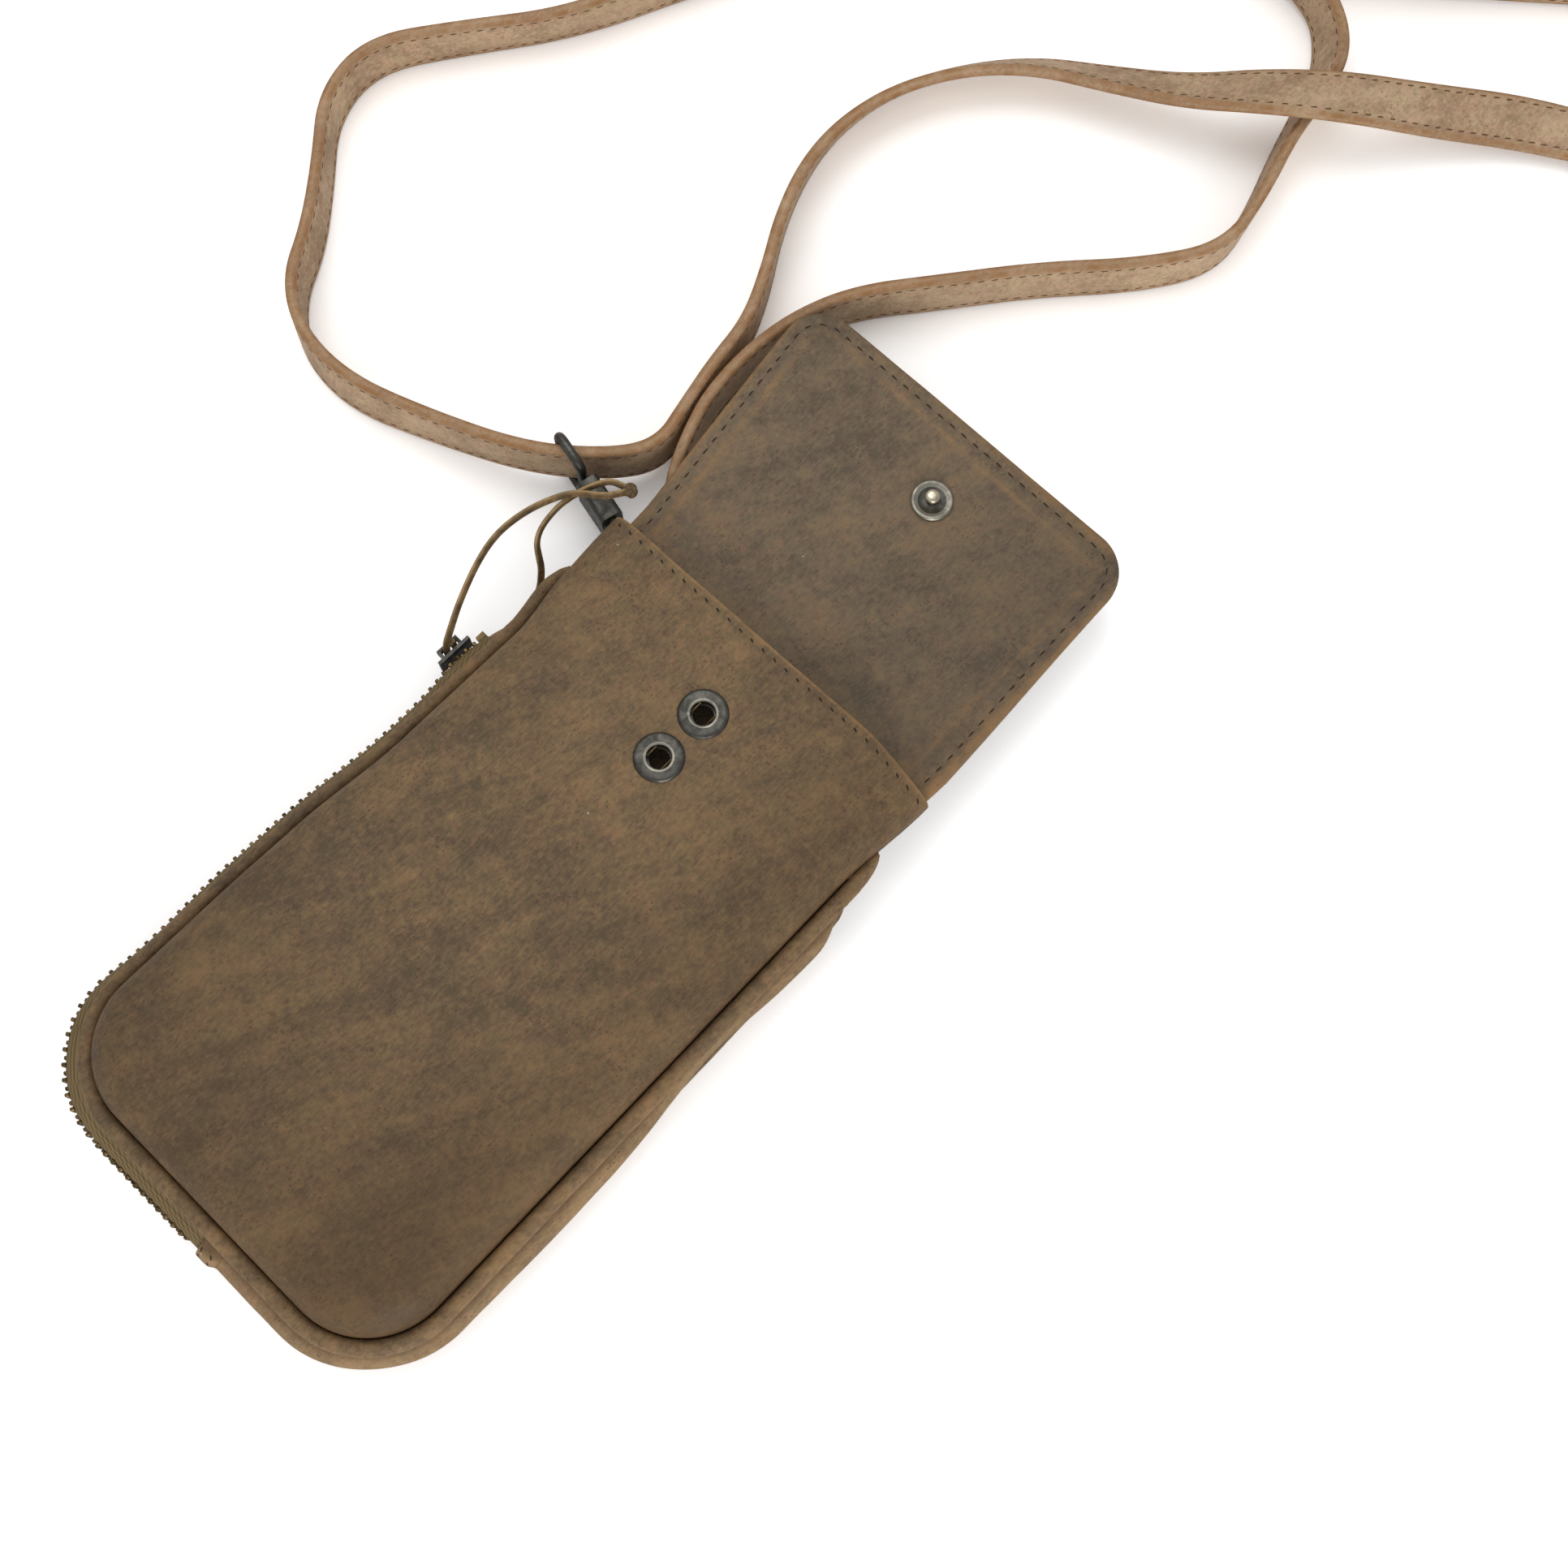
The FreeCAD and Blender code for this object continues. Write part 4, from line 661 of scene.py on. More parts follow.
def pipingPiece(name, node, spine, seed):
    setup = pipingSetup
    frames, sections = [], []
    for index, (place, outward, radius) in enumerate(spine):
        ahead = (spine[min(index + 1, len(spine) - 1)][0] - spine[max(index - 1, 0)][0]).normalized()
        frames.append((place * mm, ahead, *squareTo(ahead, outward)))
        section = []
        for angle in turns(setup["sides"]):
            pucker = setup["wrinkle"] * noise.noise(Vector((index * 0.9 + seed, angle * 0.8, seed)))
            pucker += setup["swell"] * ripple(*place, 9, seed)
            reach = radius * (1 + pucker) if radius > setup["smoothUnder"] else radius
            section.append((reach * math.cos(angle), reach * math.sin(angle)))
        sections.append(section)
    piece = gridPiece(name, ringRows(frames, sections))
    closeSeams(piece)
    level = spine[len(spine) // 2][0].z
    paint(piece, "wear", lambda x, y, z: (
        0.1 + 0.3 * ease(level + 1.6, level + 0.3, z) + 0.2 * ripple(x, y, z, 12, seed)))
    # painted shade in the small wrinkles along the piping
    paint(piece, "fold", lambda x, y, z: 0.3 * ease(0.05, 0.5, ripple(x, y, 0, 1.3, seed)))
    dress(piece, pouchLeather, "pouch", [node], 60)


def pipingSpine(top, level, slope, taper):
    spine = []
    thin, thick = pipingSetup["zipSide"], pipingSetup["radius"]
    for place, normal in fineOutline:
        if place.y <= top:
            spine.append([place, normal, thin + (thick - thin) * ease(-52, -30, place.x)])
    # each end is drawn out to a point in the seam over its own length
    for run, reach in ((spine, taper[0]), (spine[::-1], taper[1])):
        tip = run[0][0].copy()
        for station in run:
            gone = (station[0] - tip).length
            if gone > reach:
                break
            share = 1 - gone / reach
            station[2] = max(pipingSetup["tip"], station[2] * math.sqrt(max(0.0, 1 - share * share)))
    line = []
    for place, normal, radius in spine:
        height = level + slope * max(0.0, ease(44, 52, place.y) * (place.y - 49))
        line.append((Vector((*(place + normal * radius), height)), Vector((*normal, 0)).normalized(), radius))
    return line


for side, top, level, slope, taper, seed in pipingSetup["runs"]:
    pipingPiece(side + "Piping", side + "_piping", pipingSpine(top, level, slope, taper), seed)
print("piping made")


# side wall: gusset and zip tapes share one folded section
def wallDrift(x, y):
    # where the sewn wall stands in or out of its even line
    low = ease(-70, -90, y)
    if x > 0:
        return 0.5 * hump(-40, 22, y) - 2.2 * hump(15, 20, y) + 1.8 * low * ease(50, 28, x)
    # the zip's slider stops at y -59, on the even line
    corner = 1.7 * ease(-66, -84, y) * ease(-30, -44, x) - 0.6 * hump(-58, 12, y)
    return 1.7 * hump(41, 9, y) + corner + low * (0.6 + 1.2 * ease(-48, -28, x))


def wallPiece(name, samples, section, thickness, seed, life):
    foot, head, endX = wallSetup["foot"], wallSetup["head"], wallSetup["endX"]
    rows = []
    for out, high in section:
        share = (high - foot) / (head - foot)
        belly = math.sin(math.pi * min(1.0, max(0.0, share)))
        row = []
        for place, normal in samples:
            x, y = place
            low = foot + max(0.0, (y - 47) * seamRise)
            puff = life * (ripple(x, y, 0, 21, seed) + 0.25 * ripple(x, y, high, 9, seed)) + wallDrift(x, y)
            drawn = 0.85 * ease(49, 67, y)
            if name == "sideGusset":
                drawn = max(drawn, 0.6 * ease(endX + 2, endX, x))
            spot = place + normal * ((out + puff * belly) * (1 - drawn) if out > 0 else out)
            row.append((*spot, low + share * (head - low)))
        rows.append(row)
    piece = gridPiece(name, rows)
    paint(piece, "wear", lambda x, y, z: 0.15 + 0.35 * ripple(x, y, z, 14, seed))
    # the wall is darker where the piping shades it
    paint(piece, "fold", lambda x, y, z: 0.03 + 0.6 * ease(12.9, 15.4, z))
    faceSheet(piece, lambda centre: Vector((centre.x, centre.y, 0)))
    modify(piece, "SOLIDIFY", thickness=thickness * mm, offset=-1, use_even_offset=False)
    return piece


def smoothLine(points, steps):
    # a rounded run through a section's corners
    path = [Vector(point) for point in points[:1] + points + points[-1:]]
    line = []
    for before, first, last, after in zip(path, path[1:], path[2:], path[3:]):
        pulls = first + (last - before) / 6, last - (after - first) / 6
        line += [tuple(spot[:2]) for spot in interpolate_bezier(first, *pulls, last, steps + 1)[:-1]]
    return line + points[-1:]


wallSetup = {
    "gusset": [(-2, 17.2), (0.6, 17.0), (3.4, 15.2), (5.9, 12.0), (6.5, 9.2), (5.6, 6.9), (3.2, 5.9), (0.4, 4.6),
               (-0.5, 2.4), (-3, 1.9)],
    "frontTape": [(-2, 17.2), (0.6, 16.8), (3.4, 15.9), (5.6, 14.2), (6.4, 12.4)],
    "backTape": [(6.3, 8.2), (3.1, 6.0), (0.4, 4.7), (-0.5, 2.4), (-3, 1.9)],
    "endTab": [(2.4, 16.4), (5.0, 15.4), (7.0, 13.0), (7.7, 9.8), (6.9, 6.8), (4.4, 5.8)],
    "tabRows": (3.6, 6.6), "tabLevels": (9.0, 12.0, 14.4), "endX": 3.6, "top": 67.5, "foot": 1.6, "head": 17.4}


def wallRun(fromX, toX, fromY, toY):
    return [(place, normal) for place, normal in fineOutline if fromX < place.x < toX and fromY < place.y < toY]


far = math.inf
rightWall = wallRun(wallSetup["endX"], far, -far, wallSetup["top"])
leftWall = wallRun(-far, 0, 48.8, wallSetup["top"])
zipWall = wallRun(-far, 3.8, -far, 50.1)
for name, node, run, section, steps, leather, seed, life, finish, slotName in (
        ("sideGusset", "side_gusset", rightWall, "gusset", 4, 1.5, 4.0, 0.35, gussetLeather, "pouch_leather"),
        ("sideGussetLeft", "side_gusset_left", leftWall, "gusset", 4, 1.5, 9.0, 0.3, gussetLeather, "pouch_leather"),
        ("zipTapeFront", "zip_tape_front", zipWall, "frontTape", 3, 0.8, 1.0, 0.12, zipCloth, "zip_cloth"),
        ("zipTapeBack", "zip_tape_back", zipWall, "backTape", 3, 0.8, 6.0, 0.12, zipCloth, "zip_cloth")):
    piece = wallPiece(name, run, smoothLine(wallSetup[section], steps), leather, seed, life)
    dress(piece, finish, "pouch", [node], 60)
# tab sewn round the zip's lower end
endTab = wallPiece("zipEndTab", wallRun(2.6, 8.8, -far, 0), smoothLine(wallSetup["endTab"], 4), 0.9, 3.0, 0.0)
sculpt(endTab, lambda x, y, z: (x, y + 1.2 * ease(6.0, 8.8, x), z))
dress(endTab, gussetLeather, "pouch", ["zip_end_tab"], 50)
print("side wall made")


# zip: one tooth modelled, then copied along both rows
def spacedAlong(points, pitch, start):
    # even steps along a line: the number of the segment and the share of it
    steps = []
    carry = start
    for index, (a, b) in enumerate(zip(points, points[1:])):
        span = (b - a).length
        while carry <= span:
            steps.append((index, carry / span))
            carry += pitch
        carry -= span
    return steps


def copiesOf(name, pattern, matrices):
    bpy.ops.object.select_all(action="DESELECT")
    for matrix in matrices:
        mesh = pattern.data.copy()
        mesh.transform(matrix)
        made = addObject(name, mesh)
        made.select_set(True)
        bpy.context.view_layer.objects.active = made
    bpy.ops.object.join()
    piece = bpy.context.object
    piece.name = name
    return piece


toothSetup = {"width": 1.0, "inner": 4.2, "outer": 7.0, "head": 2.0, "leg": 1.7, "legWall": 1.2, "pitch": 2.6,
              "edge": 0.2, "start": 3.0, "count": 70, "level": 10.29}
bpy.ops.mesh.primitive_cube_add(size=1)
tooth = bpy.context.object
toothMiddle = (toothSetup["inner"] + toothSetup["outer"]) / 2
toothDepth = toothSetup["outer"] - toothSetup["inner"]
legFoot = (toothSetup["outer"] - toothSetup["legWall"]) * mm
for vertex in tooth.data.vertices:
    x, y, z = vertex.co
    vertex.co = Vector((x * toothSetup["width"], toothMiddle + y * toothDepth, z * toothSetup["head"])) * mm
with editing(tooth):
    bpy.ops.mesh.bisect(plane_co=(0, legFoot, 0), plane_no=(0, 1, 0))
    bpy.ops.mesh.select_mode(type="FACE")
    bpy.ops.mesh.select_all(action="DESELECT")
for polygon in tooth.data.polygons:
    polygon.select = polygon.normal.z > 0.9 and polygon.center.y > legFoot
with editing(tooth, everything=False):
    bpy.ops.mesh.extrude_region_move(TRANSFORM_OT_translate={"value": (0, 0, toothSetup["leg"] * mm)})
    bpy.ops.mesh.select_all(action="SELECT")
    bpy.ops.mesh.bevel(offset=toothSetup["edge"] * mm, segments=1)
    bpy.ops.mesh.select_mode(type="VERT")
zipLine = [place for place, normal in zipWall]
for row, facing, phase in (("Front", 1, 0.25), ("Back", -1, 0.75)):
    matrices = []
    start = toothSetup["start"] + phase * toothSetup["pitch"]
    for index, share in spacedAlong(zipLine, toothSetup["pitch"], start)[:toothSetup["count"]]:
        place, normal = [a.lerp(b, share) for a, b in zip(zipWall[index], zipWall[index + 1])]
        normal.normalize()
        heading = (zipLine[index + 1] - zipLine[index]).normalized() * facing
        place = place + normal * wallDrift(place.x, place.y)
        spot = (*place, toothSetup["level"])
        matrices.append(frameMatrix(spot, Vector((*heading, 0)), Vector((*normal, 0)), upAxis * facing))
    teeth = copiesOf("zipTeeth" + row, tooth, matrices)
    dress(teeth, agedBrass, "pouch", ["zip_teeth_" + row.lower()], 30)
bpy.data.objects.remove(tooth)
print("zip teeth made")


# flap: one closed sheet in two pieces that meet in the middle of its bridge
flapSetup = {
    "topY": 102.35, "topHalf": 50.42, "endY": 172, "endHalf": 54.5, "corner": 11, "side": 40, "arc": 16, "end": 40,
    "rootHalf": 49.7, "slope": 0.05854, "spineEnd": 125, "leanFrom": 100, "lean": 0.08, "skew": 0.026, "flare": 1.6,
    "waves": [(0.5, 44, 8.0), (0.12, 12, 2.0)], "stud": 150.3, "rootDrop": 1.6, "stitchInset": 3.4, "stitchPitch": 3.9,
    "stitchFrom": 91.5, "stations": [72, 76, 80, 84, 88, 89.9, 90.1, 90.3, 90.5],
    "under": [(-8.2, 15.9), (-7.2, 15.85), (-5, 15.8), (-3.9, 15.85), (-3.4, 16.0), (-2.9, 15.85), (-1.6, 15.8),
              (-0.7, 15.9), (-0.2, 16.25), (0, 16.9)],
    "upper": [(0, 18.0), (-0.2, 18.75), (-0.7, 19.15), (-1.6, 19.32), (-2.9, 19.28), (-3.4, 19.04), (-3.9, 19.28),
              (-5, 19.36), (-6.4, 19.32), (-7.2, 19.1), (-8.2, 18.96)]}


def flapForm(x, y, z):
    past = max(0.0, y - flapSetup["leanFrom"])
    y += flapSetup["skew"] * x * ease(100, 150, y)
    x += flapSetup["flare"] * ease(0, 40, x) * ease(168, 92, y)
    x -= flapSetup["lean"] * past
    clear = ease(4, 14, math.hypot(x, y - flapSetup["stud"]))
    z += clear * ease(102, 120, y) * waves(x, y, 0, flapSetup["waves"])
    return x, y, z


def flapPiece(name, rows):
    piece = gridPiece(name, rows)
    closeSeams(piece)
    fillEnds(piece)
    sculpt(piece, flapForm)
    return piece


flapOutline = outlineOf(flapSetup)
under = profileRows(flapOutline, flapSetup["under"])
upper = profileRows(flapOutline, flapSetup["upper"])
inside = fillRows(under[0], 9, flapSetup["spineEnd"])[::-1]
flapUpper = flapPiece("flapTip", inside + under + upper + fillRows(upper[-1], 18, flapSetup["spineEnd"]))


def flapHalf(y):
    return flapSetup["rootHalf"] + (y - frontSetup["mouth"]) * flapSetup["slope"]


def between(first, last, parts=16):
    return [tuple(Vector(first).lerp(Vector(last), step / parts)) for step in range(1, parts)]


def flapRing(y):
    half = flapHalf(y)
    drop = flapSetup["rootDrop"] * ease(90.4, 89.9, y)
    left = [(-half - offset, y, z - drop) for offset, z in flapSetup["upper"]]
    right = [(-x, y, z) for x, y, z in left[::-1]]
    low = [(half + offset, y, z) for offset, z in flapSetup["under"][::-1]]
    lowLeft = [(-x, y, z) for x, y, z in low[::-1]]
    ring = left + between(left[-1], right[0]) + right + low + between(low[-1], lowLeft[0]) + lowLeft
    return ring + ring[:1]


stations = flapSetup["stations"] + [91 + 0.6 * step for step in range(19)] + [flapSetup["topY"]]
flapLower = flapPiece("flapRoot", [flapRing(y) for y in stations])


def flapWear(x, y, z):
    x += flapSetup["lean"] * max(0.0, y - flapSetup["leanFrom"])
    inset = min(flapHalf(y) - abs(x), flapSetup["endY"] - y)
    ridge = 0.45 * hump(6.6, 0.7, inset) + 0.2 * hump(1.8, 0.7, inset)
    creases = 0.12 * hump(96, 2.5, y) + 0.1 * hump(108.5, 2.5, y)
    return 0.75 * ease(1.4, 0.3, inset) + ridge * ease(92, 96, y) + creases


for piece, nodes in ((flapLower, ["flap_root_outer", "flap_bridge_outer", "flap_bridge_lining"]),
                     (flapUpper, ["flap_tip_outer", "flap_tip_lining"])):
    paint(piece, "wear", flapWear)
    # painted shadow: the flap is painted darker towards its right side
    paint(piece, "fold", lambda x, y, z: 0.26 * ease(-20, 42, x))
    dress(piece, flapLeather, None, nodes, 60)


def foldFlap(piece):
    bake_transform(piece)


print("flap made")


# snap: turned metal, spun from half profiles
def turnedPiece(name, profile, y, steps=48):
    bpy.ops.mesh.primitive_circle_add(vertices=len(profile), radius=1, fill_type="NOTHING")
    piece = bpy.context.object
    piece.name = name
    for vertex, (radius, height) in zip(piece.data.vertices, profile):
        vertex.co = (radius * mm, 0, height * mm)
    with editing(piece):
        bpy.ops.mesh.spin(steps=steps, angle=2 * math.pi, center=(0, 0, 0), axis=(0, 0, 1))
        bpy.ops.mesh.select_all(action="SELECT")
        bpy.ops.mesh.remove_doubles(threshold=0.00001)
        bpy.ops.mesh.dissolve_degenerate(threshold=0.000001)
        bpy.ops.mesh.select_all(action="SELECT")
        bpy.ops.mesh.normals_make_consistent(inside=False)
    piece.data.transform(Matrix.Translation((0, y * mm, 0)))
    return piece


def addFinishes(piece, finishes, centres, choose):
    # more finishes on one piece, chosen by each face's reach from the middle and its height
    for finish in finishes:
        piece.data.materials.append(finish)
    for polygon in piece.data.polygons:
        x, y, z = polygon.center / mm
        polygon.material_index = choose(min(math.hypot(x, y - centre) for centre in centres), z)


snapSetup = {
    "socket": [(3.0, 27.4), (3.0, 29.3), (3.12, 29.6), (3.4, 29.72), (3.7, 29.72), (4.0, 29.7), (4.9, 29.68),
               (5.35, 29.66), (5.65, 29.6), (5.95, 29.46), (6.15, 29.28), (6.25, 29.08), (6.2, 28.9), (5.4, 28.7),
               (3.9, 28.7), (3.9, 27.4)],
    "stud": [(0, 18.9), (5.2, 18.9), (5.4, 19.2), (5.38, 19.6), (5.1, 19.95), (4.75, 20.05), (4.4, 19.95), (3.6, 19.62),
             (2.7, 19.42), (1.9, 19.4), (1.45, 19.6), (1.3, 20.0), (1.3, 20.9), (1.5, 21.25), (1.85, 21.6),
             (1.97, 22.05), (1.85, 22.5), (1.45, 22.85), (0.8, 23.0), (0, 23.04)],
    "cap": [(0, 16.4), (5.4, 16.4), (6.1, 15.9), (6.25, 15.5), (6.15, 15.2), (5.6, 14.75), (4.4, 14.42), (2.4, 14.24),
            (0, 14.2)],
    "drill": {"vertices": 48, "radius": 0.0034, "depth": 0.02}, "drillLevel": 28,
    "innerReach": 3.6, "innerFrom": 29.2, "headFrom": 20.3, "rimFrom": 3.9}
socket = turnedPiece("snapSocket", snapSetup["socket"], 0)
matrices = [Matrix.Translation((0, y * mm, 0)) for y in frontSetup["sockets"]]
snapSockets = dress(copiesOf("snapSockets", socket, matrices), agedAndShadedNickel, "pouch", ["snap_sockets"], 35)
bpy.data.objects.remove(socket)
# painted highlight: a paler ring of nickel on the sockets' lips round the holes
addFinishes(snapSockets, [nickelSoftHighlight], frontSetup["sockets"], lambda reach, z: (
    1 if reach < snapSetup["innerReach"] and z > snapSetup["innerFrom"] else 0))
snapStud = turnedPiece("snapStud", snapSetup["stud"], flapSetup["stud"])
dress(snapStud, agedAndShadedNickel, "flap_tip", ["snap_stud"], 35)
# painted highlights: the stud's ball and rim in paler nickel than its dish
addFinishes(snapStud, [nickelHighlight, nickelSoftHighlight], [flapSetup["stud"]], lambda reach, z: (
    1 if z > snapSetup["headFrom"] else 2 if reach > snapSetup["rimFrom"] else 0))
snapCap = turnedPiece("snapCap", snapSetup["cap"], flapSetup["stud"])
dress(snapCap, agedAndShadedNickel, "flap_tip", ["snap_cap"], 35)
# the sockets' holes go through the front
for y in frontSetup["sockets"]:
    bpy.ops.mesh.primitive_cylinder_add(location=(0, y * mm, snapSetup["drillLevel"] * mm), **snapSetup["drill"])
    drill = bpy.context.object
    modify(frontPanel, "BOOLEAN", operation="DIFFERENCE", object=drill, solver="EXACT")
    bpy.data.objects.remove(drill)
print("snap made")


# leather loops: a strip led round a bar
def loopLine(centre, along, rise, setup):
    # from one leaf's end round the bar to the other leaf's end
    radius, leafSteps, turnSteps = setup["radius"], 8, 12
    leaf = []
    for step in range(leafSteps + 1):
        share = step / leafSteps
        leaf.append((setup["length"] * (1 - share), radius + (setup["pinch"] - radius) * ease(0.75, 0.0, share)))
    line = [centre - along * back + rise * high for back, high in leaf]
    for step in range(1, turnSteps):
        angle = math.pi / 2 - math.pi * step / turnSteps
        line.append(centre + along * (radius * math.cos(angle)) + rise * (radius * math.sin(angle)))
    return line + [centre - along * back - rise * high for back, high in leaf[::-1]]


def loopPiece(name, line, setup, across, finish, body, nodes):
    sides = [setup["half"] * side for side in (-1, -0.86, -0.5, 0, 0.5, 0.86, 1)]
    piece = gridPiece(name, [[tuple(place + across * side) for place in line] for side in sides])
    thicken(piece, setup, 0)
    paint(piece, "wear", lambda x, y, z: 0.25 + 0.3 * ripple(x, y, z, 5, 1.0))
    return dress(piece, finish, body, nodes, 50)


rightAxis = Vector((1, 0, 0))
hookAxis = Vector((-0.975535, 0.219846, 0))
tabSetup = {"radius": 2.15, "pinch": 2.1, "length": 14, "half": 6, "leather": 1.15, "edge": 0.3, "cuts": 2,
            "crease": 50}
for side, x, along in (("left", -36, hookAxis), ("right", 36, rightAxis)):
    line = loopLine(Vector((x, 88, 12.75)), along, upAxis, tabSetup)
    loopPiece("ringTab" + side.capitalize(), line, tabSetup, upAxis.cross(along), pouchLeather,
              "pouch", ["ring_tab_" + side])
ringFoldSetup = dict(tabSetup, radius=3.1, pinch=2.3, half=4, leather=1.2)
line = loopLine(Vector((26.35, 88, 5.21)), rightAxis, upAxis, ringFoldSetup)
loopPiece("strapRingFold", line, ringFoldSetup, Vector((0, 1, 0)), strapLeather, "right_ring",
          ["strap_ring_fold"])
sliderFoldSetup = dict(tabSetup, radius=2.1, pinch=2.1, half=7.4, leather=1.1)
sliderAlong = Vector((-29, -9, 0)).normalized()
sliderOut = upAxis.cross(sliderAlong)
endBar = Vector((-62.5, 330, 10.4)) - sliderOut * 4.6
line = loopLine(endBar, sliderAlong, sliderOut, sliderFoldSetup)
sliderFold = loopPiece("strapSliderFold", line, sliderFoldSetup, upAxis, strapLeather, "pouch",
                       ["strap_slider_fold"])
print("tabs made")

# lace knot: a small tied lump
knotSetup = {"place": (-54.6, 98.9, 23.2), "loop": 0.46, "rise": 1.1, "cord": 0.86, "flat": 0.8, "steps": 96,
             "sides": 10}


def knotPoint(angle):
    reach = knotSetup["loop"] * (2 + math.cos(3 * angle))
    high = knotSetup["loop"] * knotSetup["rise"] * math.sin(3 * angle)
    return Vector((reach * math.cos(2 * angle), reach * math.sin(2 * angle), high))


knotFrames = []
for step in range(knotSetup["steps"] + 1):
    angle = 2 * math.pi * step / knotSetup["steps"]
    heart = knotPoint(angle)
    ahead = (knotPoint(angle + 0.01) - heart).normalized()
    knotFrames.append(((Vector(knotSetup["place"]) + heart) * mm, ahead, *squareTo(ahead, heart)))
thick, thin = knotSetup["cord"], knotSetup["cord"] * knotSetup["flat"]
section = [(math.cos(spoke) * thin, math.sin(spoke) * thick) for spoke in turns(knotSetup["sides"])]
laceKnot = gridPiece("laceKnot", ringRows(knotFrames, [section] * len(knotFrames)))
closeSeams(laceKnot, 0.00002)
dress(laceKnot, laceLeather, "zip_slider", ["zip_lace_knot"], 50)
print("knot made")

# stitches: one thread float modelled, then copied along each row
stitchSetup = {"length": 2.3, "width": 0.58, "height": 0.4, "dip": 0.12, "sink": 0.04}
bpy.ops.mesh.primitive_uv_sphere_add(segments=6, ring_count=6, radius=0.5)
stitch = bpy.context.object
for vertex in stitch.data.vertices:
    x, y, z = vertex.co.z, vertex.co.y, -vertex.co.x
    high = z * stitchSetup["height"] - stitchSetup["dip"] * (2 * x) ** 4
    vertex.co = Vector((x * stitchSetup["length"], y * stitchSetup["width"], high)) * mm
stitch.data.update()


def onSurface(piece, x, y, fromBelow=False):
    start = Vector((x, y, -50 if fromBelow else 80)) * mm
    hit, place, normal, face = piece.ray_cast(start, Vector((0, 0, 1 if fromBelow else -1)))
    return place / mm, normal


def rowMatrix(place, heading, normal, slant=7, stretch=1.0, widen=1.0):
    along = (heading - normal * heading.dot(normal)).normalized()
    along.rotate(Matrix.Rotation(math.radians(slant), 3, normal))
    turned = frameMatrix(place - normal * stitchSetup["sink"], along, normal.cross(along), normal)
    return turned @ Matrix.Diagonal((stretch, widen, 1, 1))


def stitchSpots(line, pitch):
    # even places along a flat line, with the way on at each
    spots = []
    for index, share in spacedAlong(line, pitch, pitch / 2):
        a, b = line[index], line[index + 1]
        spots.append((a.lerp(b, share), Vector((*(b - a), 0))))
    return spots


bpy.context.view_layer.update()
# mouth hem
hemY = frontSetup["mouth"] - frontSetup["stitchDrop"]
hemLine = [Vector(frontForm(x, hemY, 29)[:2]) for x in range(-49, 51)]
matrices = []
for spot, heading in stitchSpots(hemLine, frontSetup["stitchPitch"]):
    place, normal = onSurface(frontPanel, spot.x, spot.y)
    matrices.append(rowMatrix(place, heading, normal, -24, 0.75))
dress(copiesOf("hemStitches", stitch, matrices), hemThread, "pouch")
# flap border, seen on both of its faces
borderTop = flapSetup["stitchFrom"]
borderOutline = outlineOf(dict(flapSetup, topY=borderTop, topHalf=flapHalf(borderTop)))
border = [place - normal * flapSetup["stitchInset"] for place, normal in borderOutline]
border = [Vector(flapForm(place.x, place.y, 19)[:2]) for place in border]
flapRows = {"flapRoot": [], "flapTip": []}
for spot, heading in stitchSpots(border, flapSetup["stitchPitch"]):
    which = "flapRoot" if spot.y < flapSetup["topY"] else "flapTip"
    for fromBelow in (False, True):
        place, normal = onSurface(flapLower if which == "flapRoot" else flapUpper, spot.x, spot.y, fromBelow)
        flapRows[which].append(rowMatrix(place, heading, normal, -8, 1.15, 1.3))
for which, matrices in flapRows.items():
    made = dress(copiesOf(which + "Stitches", stitch, matrices), darkThread)
    foldFlap(made)
foldFlap(flapLower)
foldFlap(flapUpper)
# strap: a row along each edge of each face
matrices = []
pitch = strapSetup["stitchPitch"] * mm
for index, share in spacedAlong(strapLine, pitch, pitch / 2):
    ends = zip(strapFrames[index], strapFrames[index + 1])
    point, ahead, across, through = [a.lerp(b, share) for a, b in ends]
    for edge in (-strapSetup["stitchAcross"], strapSetup["stitchAcross"]):
        for face in (-1, 1):
            place = point / mm + across * edge + through * (strapSetup["stitchThrough"] * face)
            matrices.append(rowMatrix(place, ahead, (through * face).normalized()))
strapStitches = dress(copiesOf("strapStitches", stitch, matrices), strapThread, "pouch")
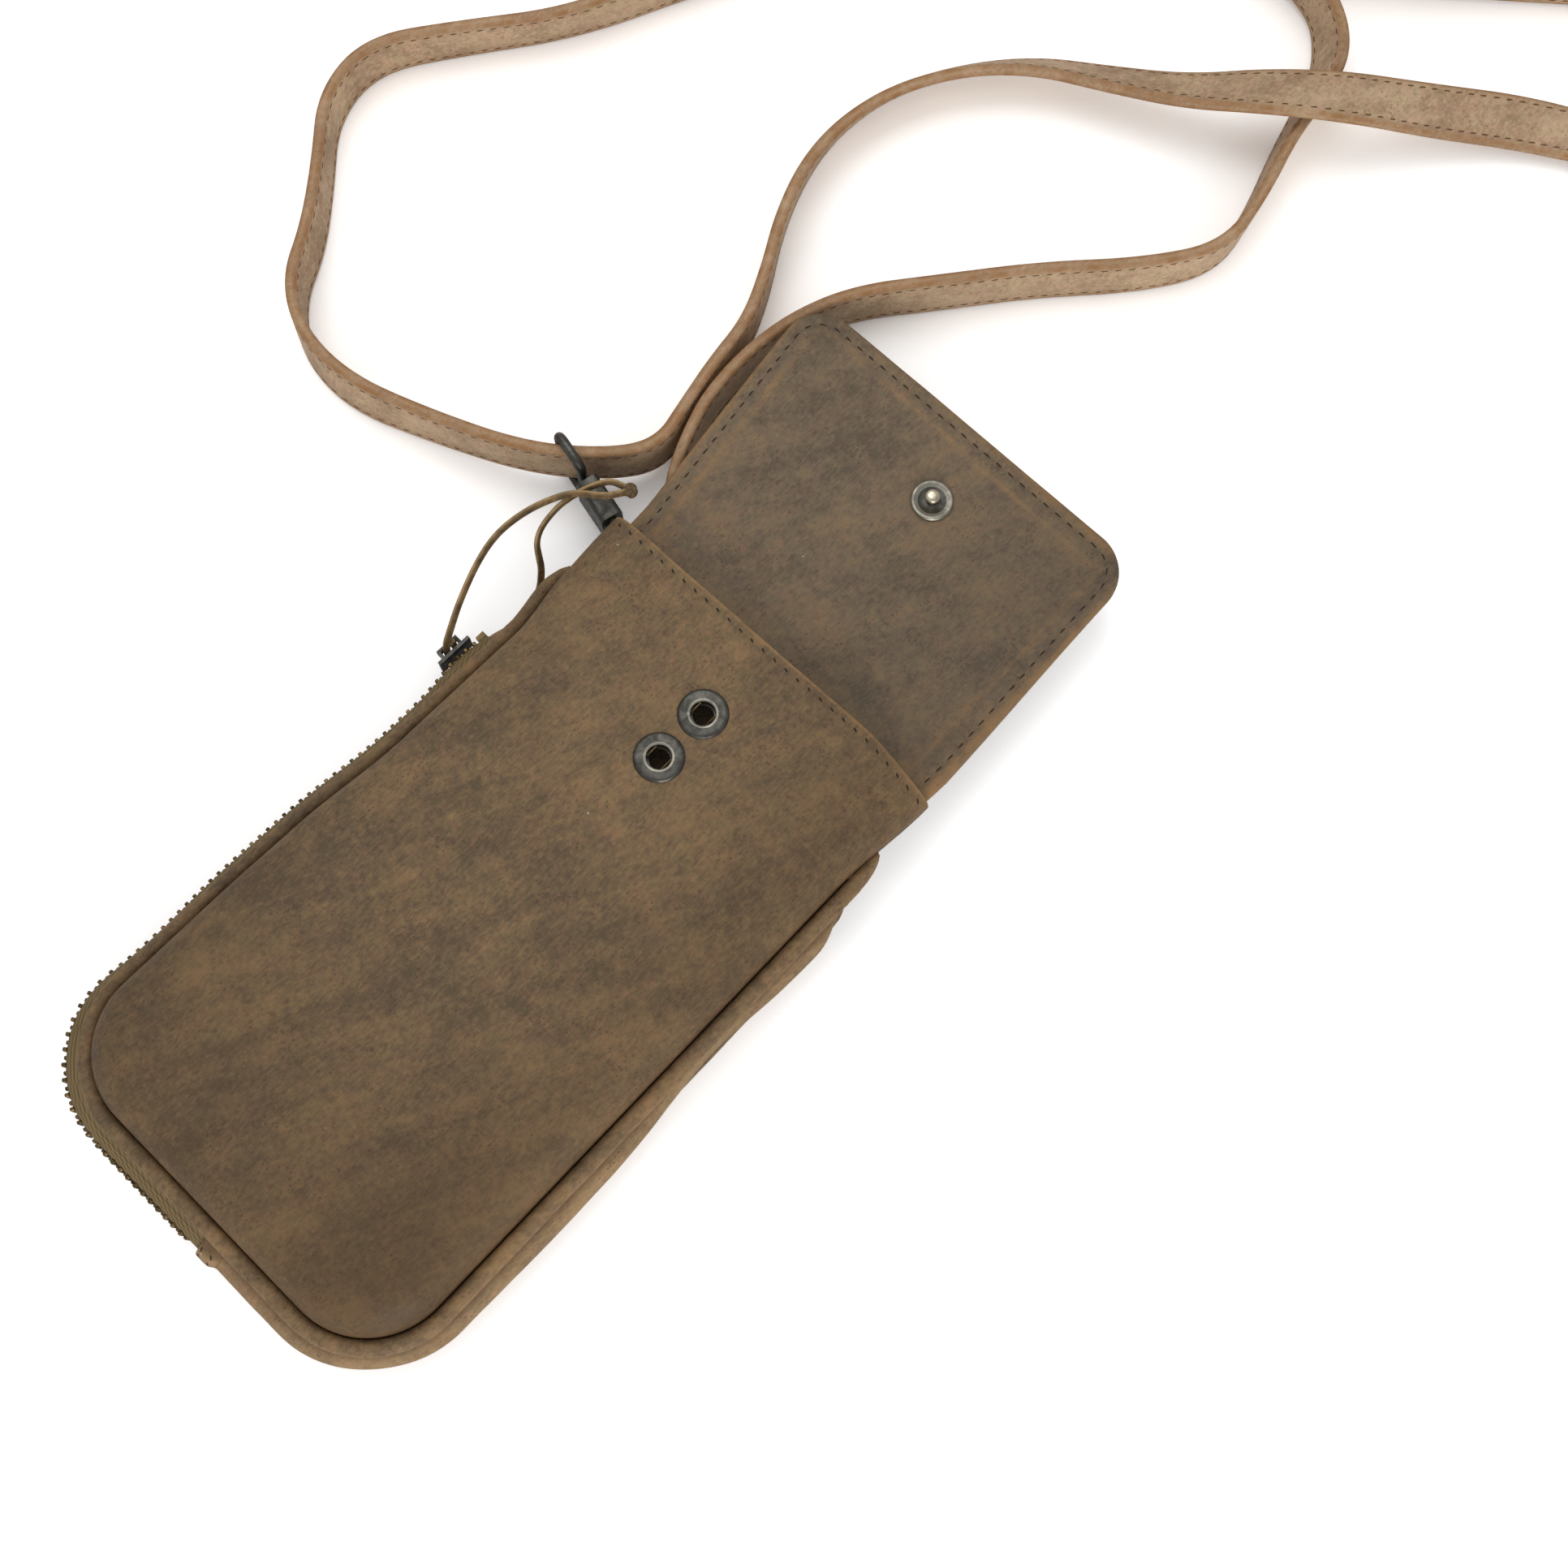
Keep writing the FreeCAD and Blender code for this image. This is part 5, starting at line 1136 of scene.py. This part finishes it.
# end tab: two short rows
matrices = []
for x in wallSetup["tabRows"]:
    for z in wallSetup["tabLevels"]:
        hit, place, normal, face = endTab.ray_cast(Vector((x, -130, z)) * mm, Vector((0, 1, 0)))
        matrices.append(rowMatrix(place / mm, upAxis, normal, 7, 0.8))
dress(copiesOf("endTabStitches", stitch, matrices), darkThread, "pouch")
bpy.data.objects.remove(stitch)
print("stitches made")

# cords take their leather, and their lengths are worked out
dress(strap, strapLeather, "pouch", ["shoulder_strap"], 50)
lineLength(strapLine)
for strand, (piece, line) in laces.items():
    dress(piece, laceLeather, "zip_slider", ["zip_lace_" + strand], 50)
    lineLength(line)

# metal that keeps its solid's shape
# the metal parts take the dark nickel, whose darkness is partly painted shade
metalNodes = {
    agedAndShadedNickel: ["zip_slider_outer", "zip_slider_inner", "d_ring_left", "d_ring_right", "hook_body", "hook_bolt",
                 "hook_spring", "hook_eye", "strap_slider", "snap_eyelets"],
    agedBrass: ["zip_top_stops", "zip_bottom_stop", "snap_springs"]}
for finish, names in metalNodes.items():
    for name in names:
        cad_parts[name].data.materials.clear()
        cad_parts[name].data.materials.append(finish)

# floor, light and world
lightSetup = {
    "world": 0.6, "floor": 0.86, "lift": 1.5, "aim": (0.0, 0.08, 0.0),
    "lights": [("softKey", 5.6, 1.0, (-0.55, 0.35, 1.25)), ("softFill", 5.4, 0.6, (0.75, -0.5, 0.38))]}
bpy.ops.mesh.primitive_plane_add(size=8, location=(0, 0, -0.0004))
floor = bpy.context.object
floor.name = "floor"
f = Finish("paleFloor")
seen = f.node("LightPath", {}, "Is Camera Ray")
shade = f.mix(seen, (lightSetup["floor"],) * 3, (lightSetup["lift"],) * 3)
paper = f.node("BsdfDiffuse", {"Color": shade})
f.node("OutputMaterial", {"Surface": paper})
floor.data.materials.append(f.holder)
for name, power, size, place in lightSetup["lights"]:
    lightData = bpy.data.lights.new(name, "AREA")
    lightData.energy = power
    lightData.size = size
    light = addObject(name, lightData)
    light.location = place
    light.rotation_euler = (Vector(lightSetup["aim"]) - Vector(place)).to_track_quat("-Z", "Y").to_euler()
room = Finish("paleRoom", bpy.data.worlds)
seen = room.node("LightPath", {}, "Is Camera Ray")
level = room.node("MapRange", {"Value": seen, "To Min": lightSetup["world"], "To Max": 1.0})
back = room.node("Background", {"Color": (1, 1, 1, 1), "Strength": level})
room.node("OutputWorld", {"Surface": back})
bpy.context.scene.world = room.holder
print("light set")
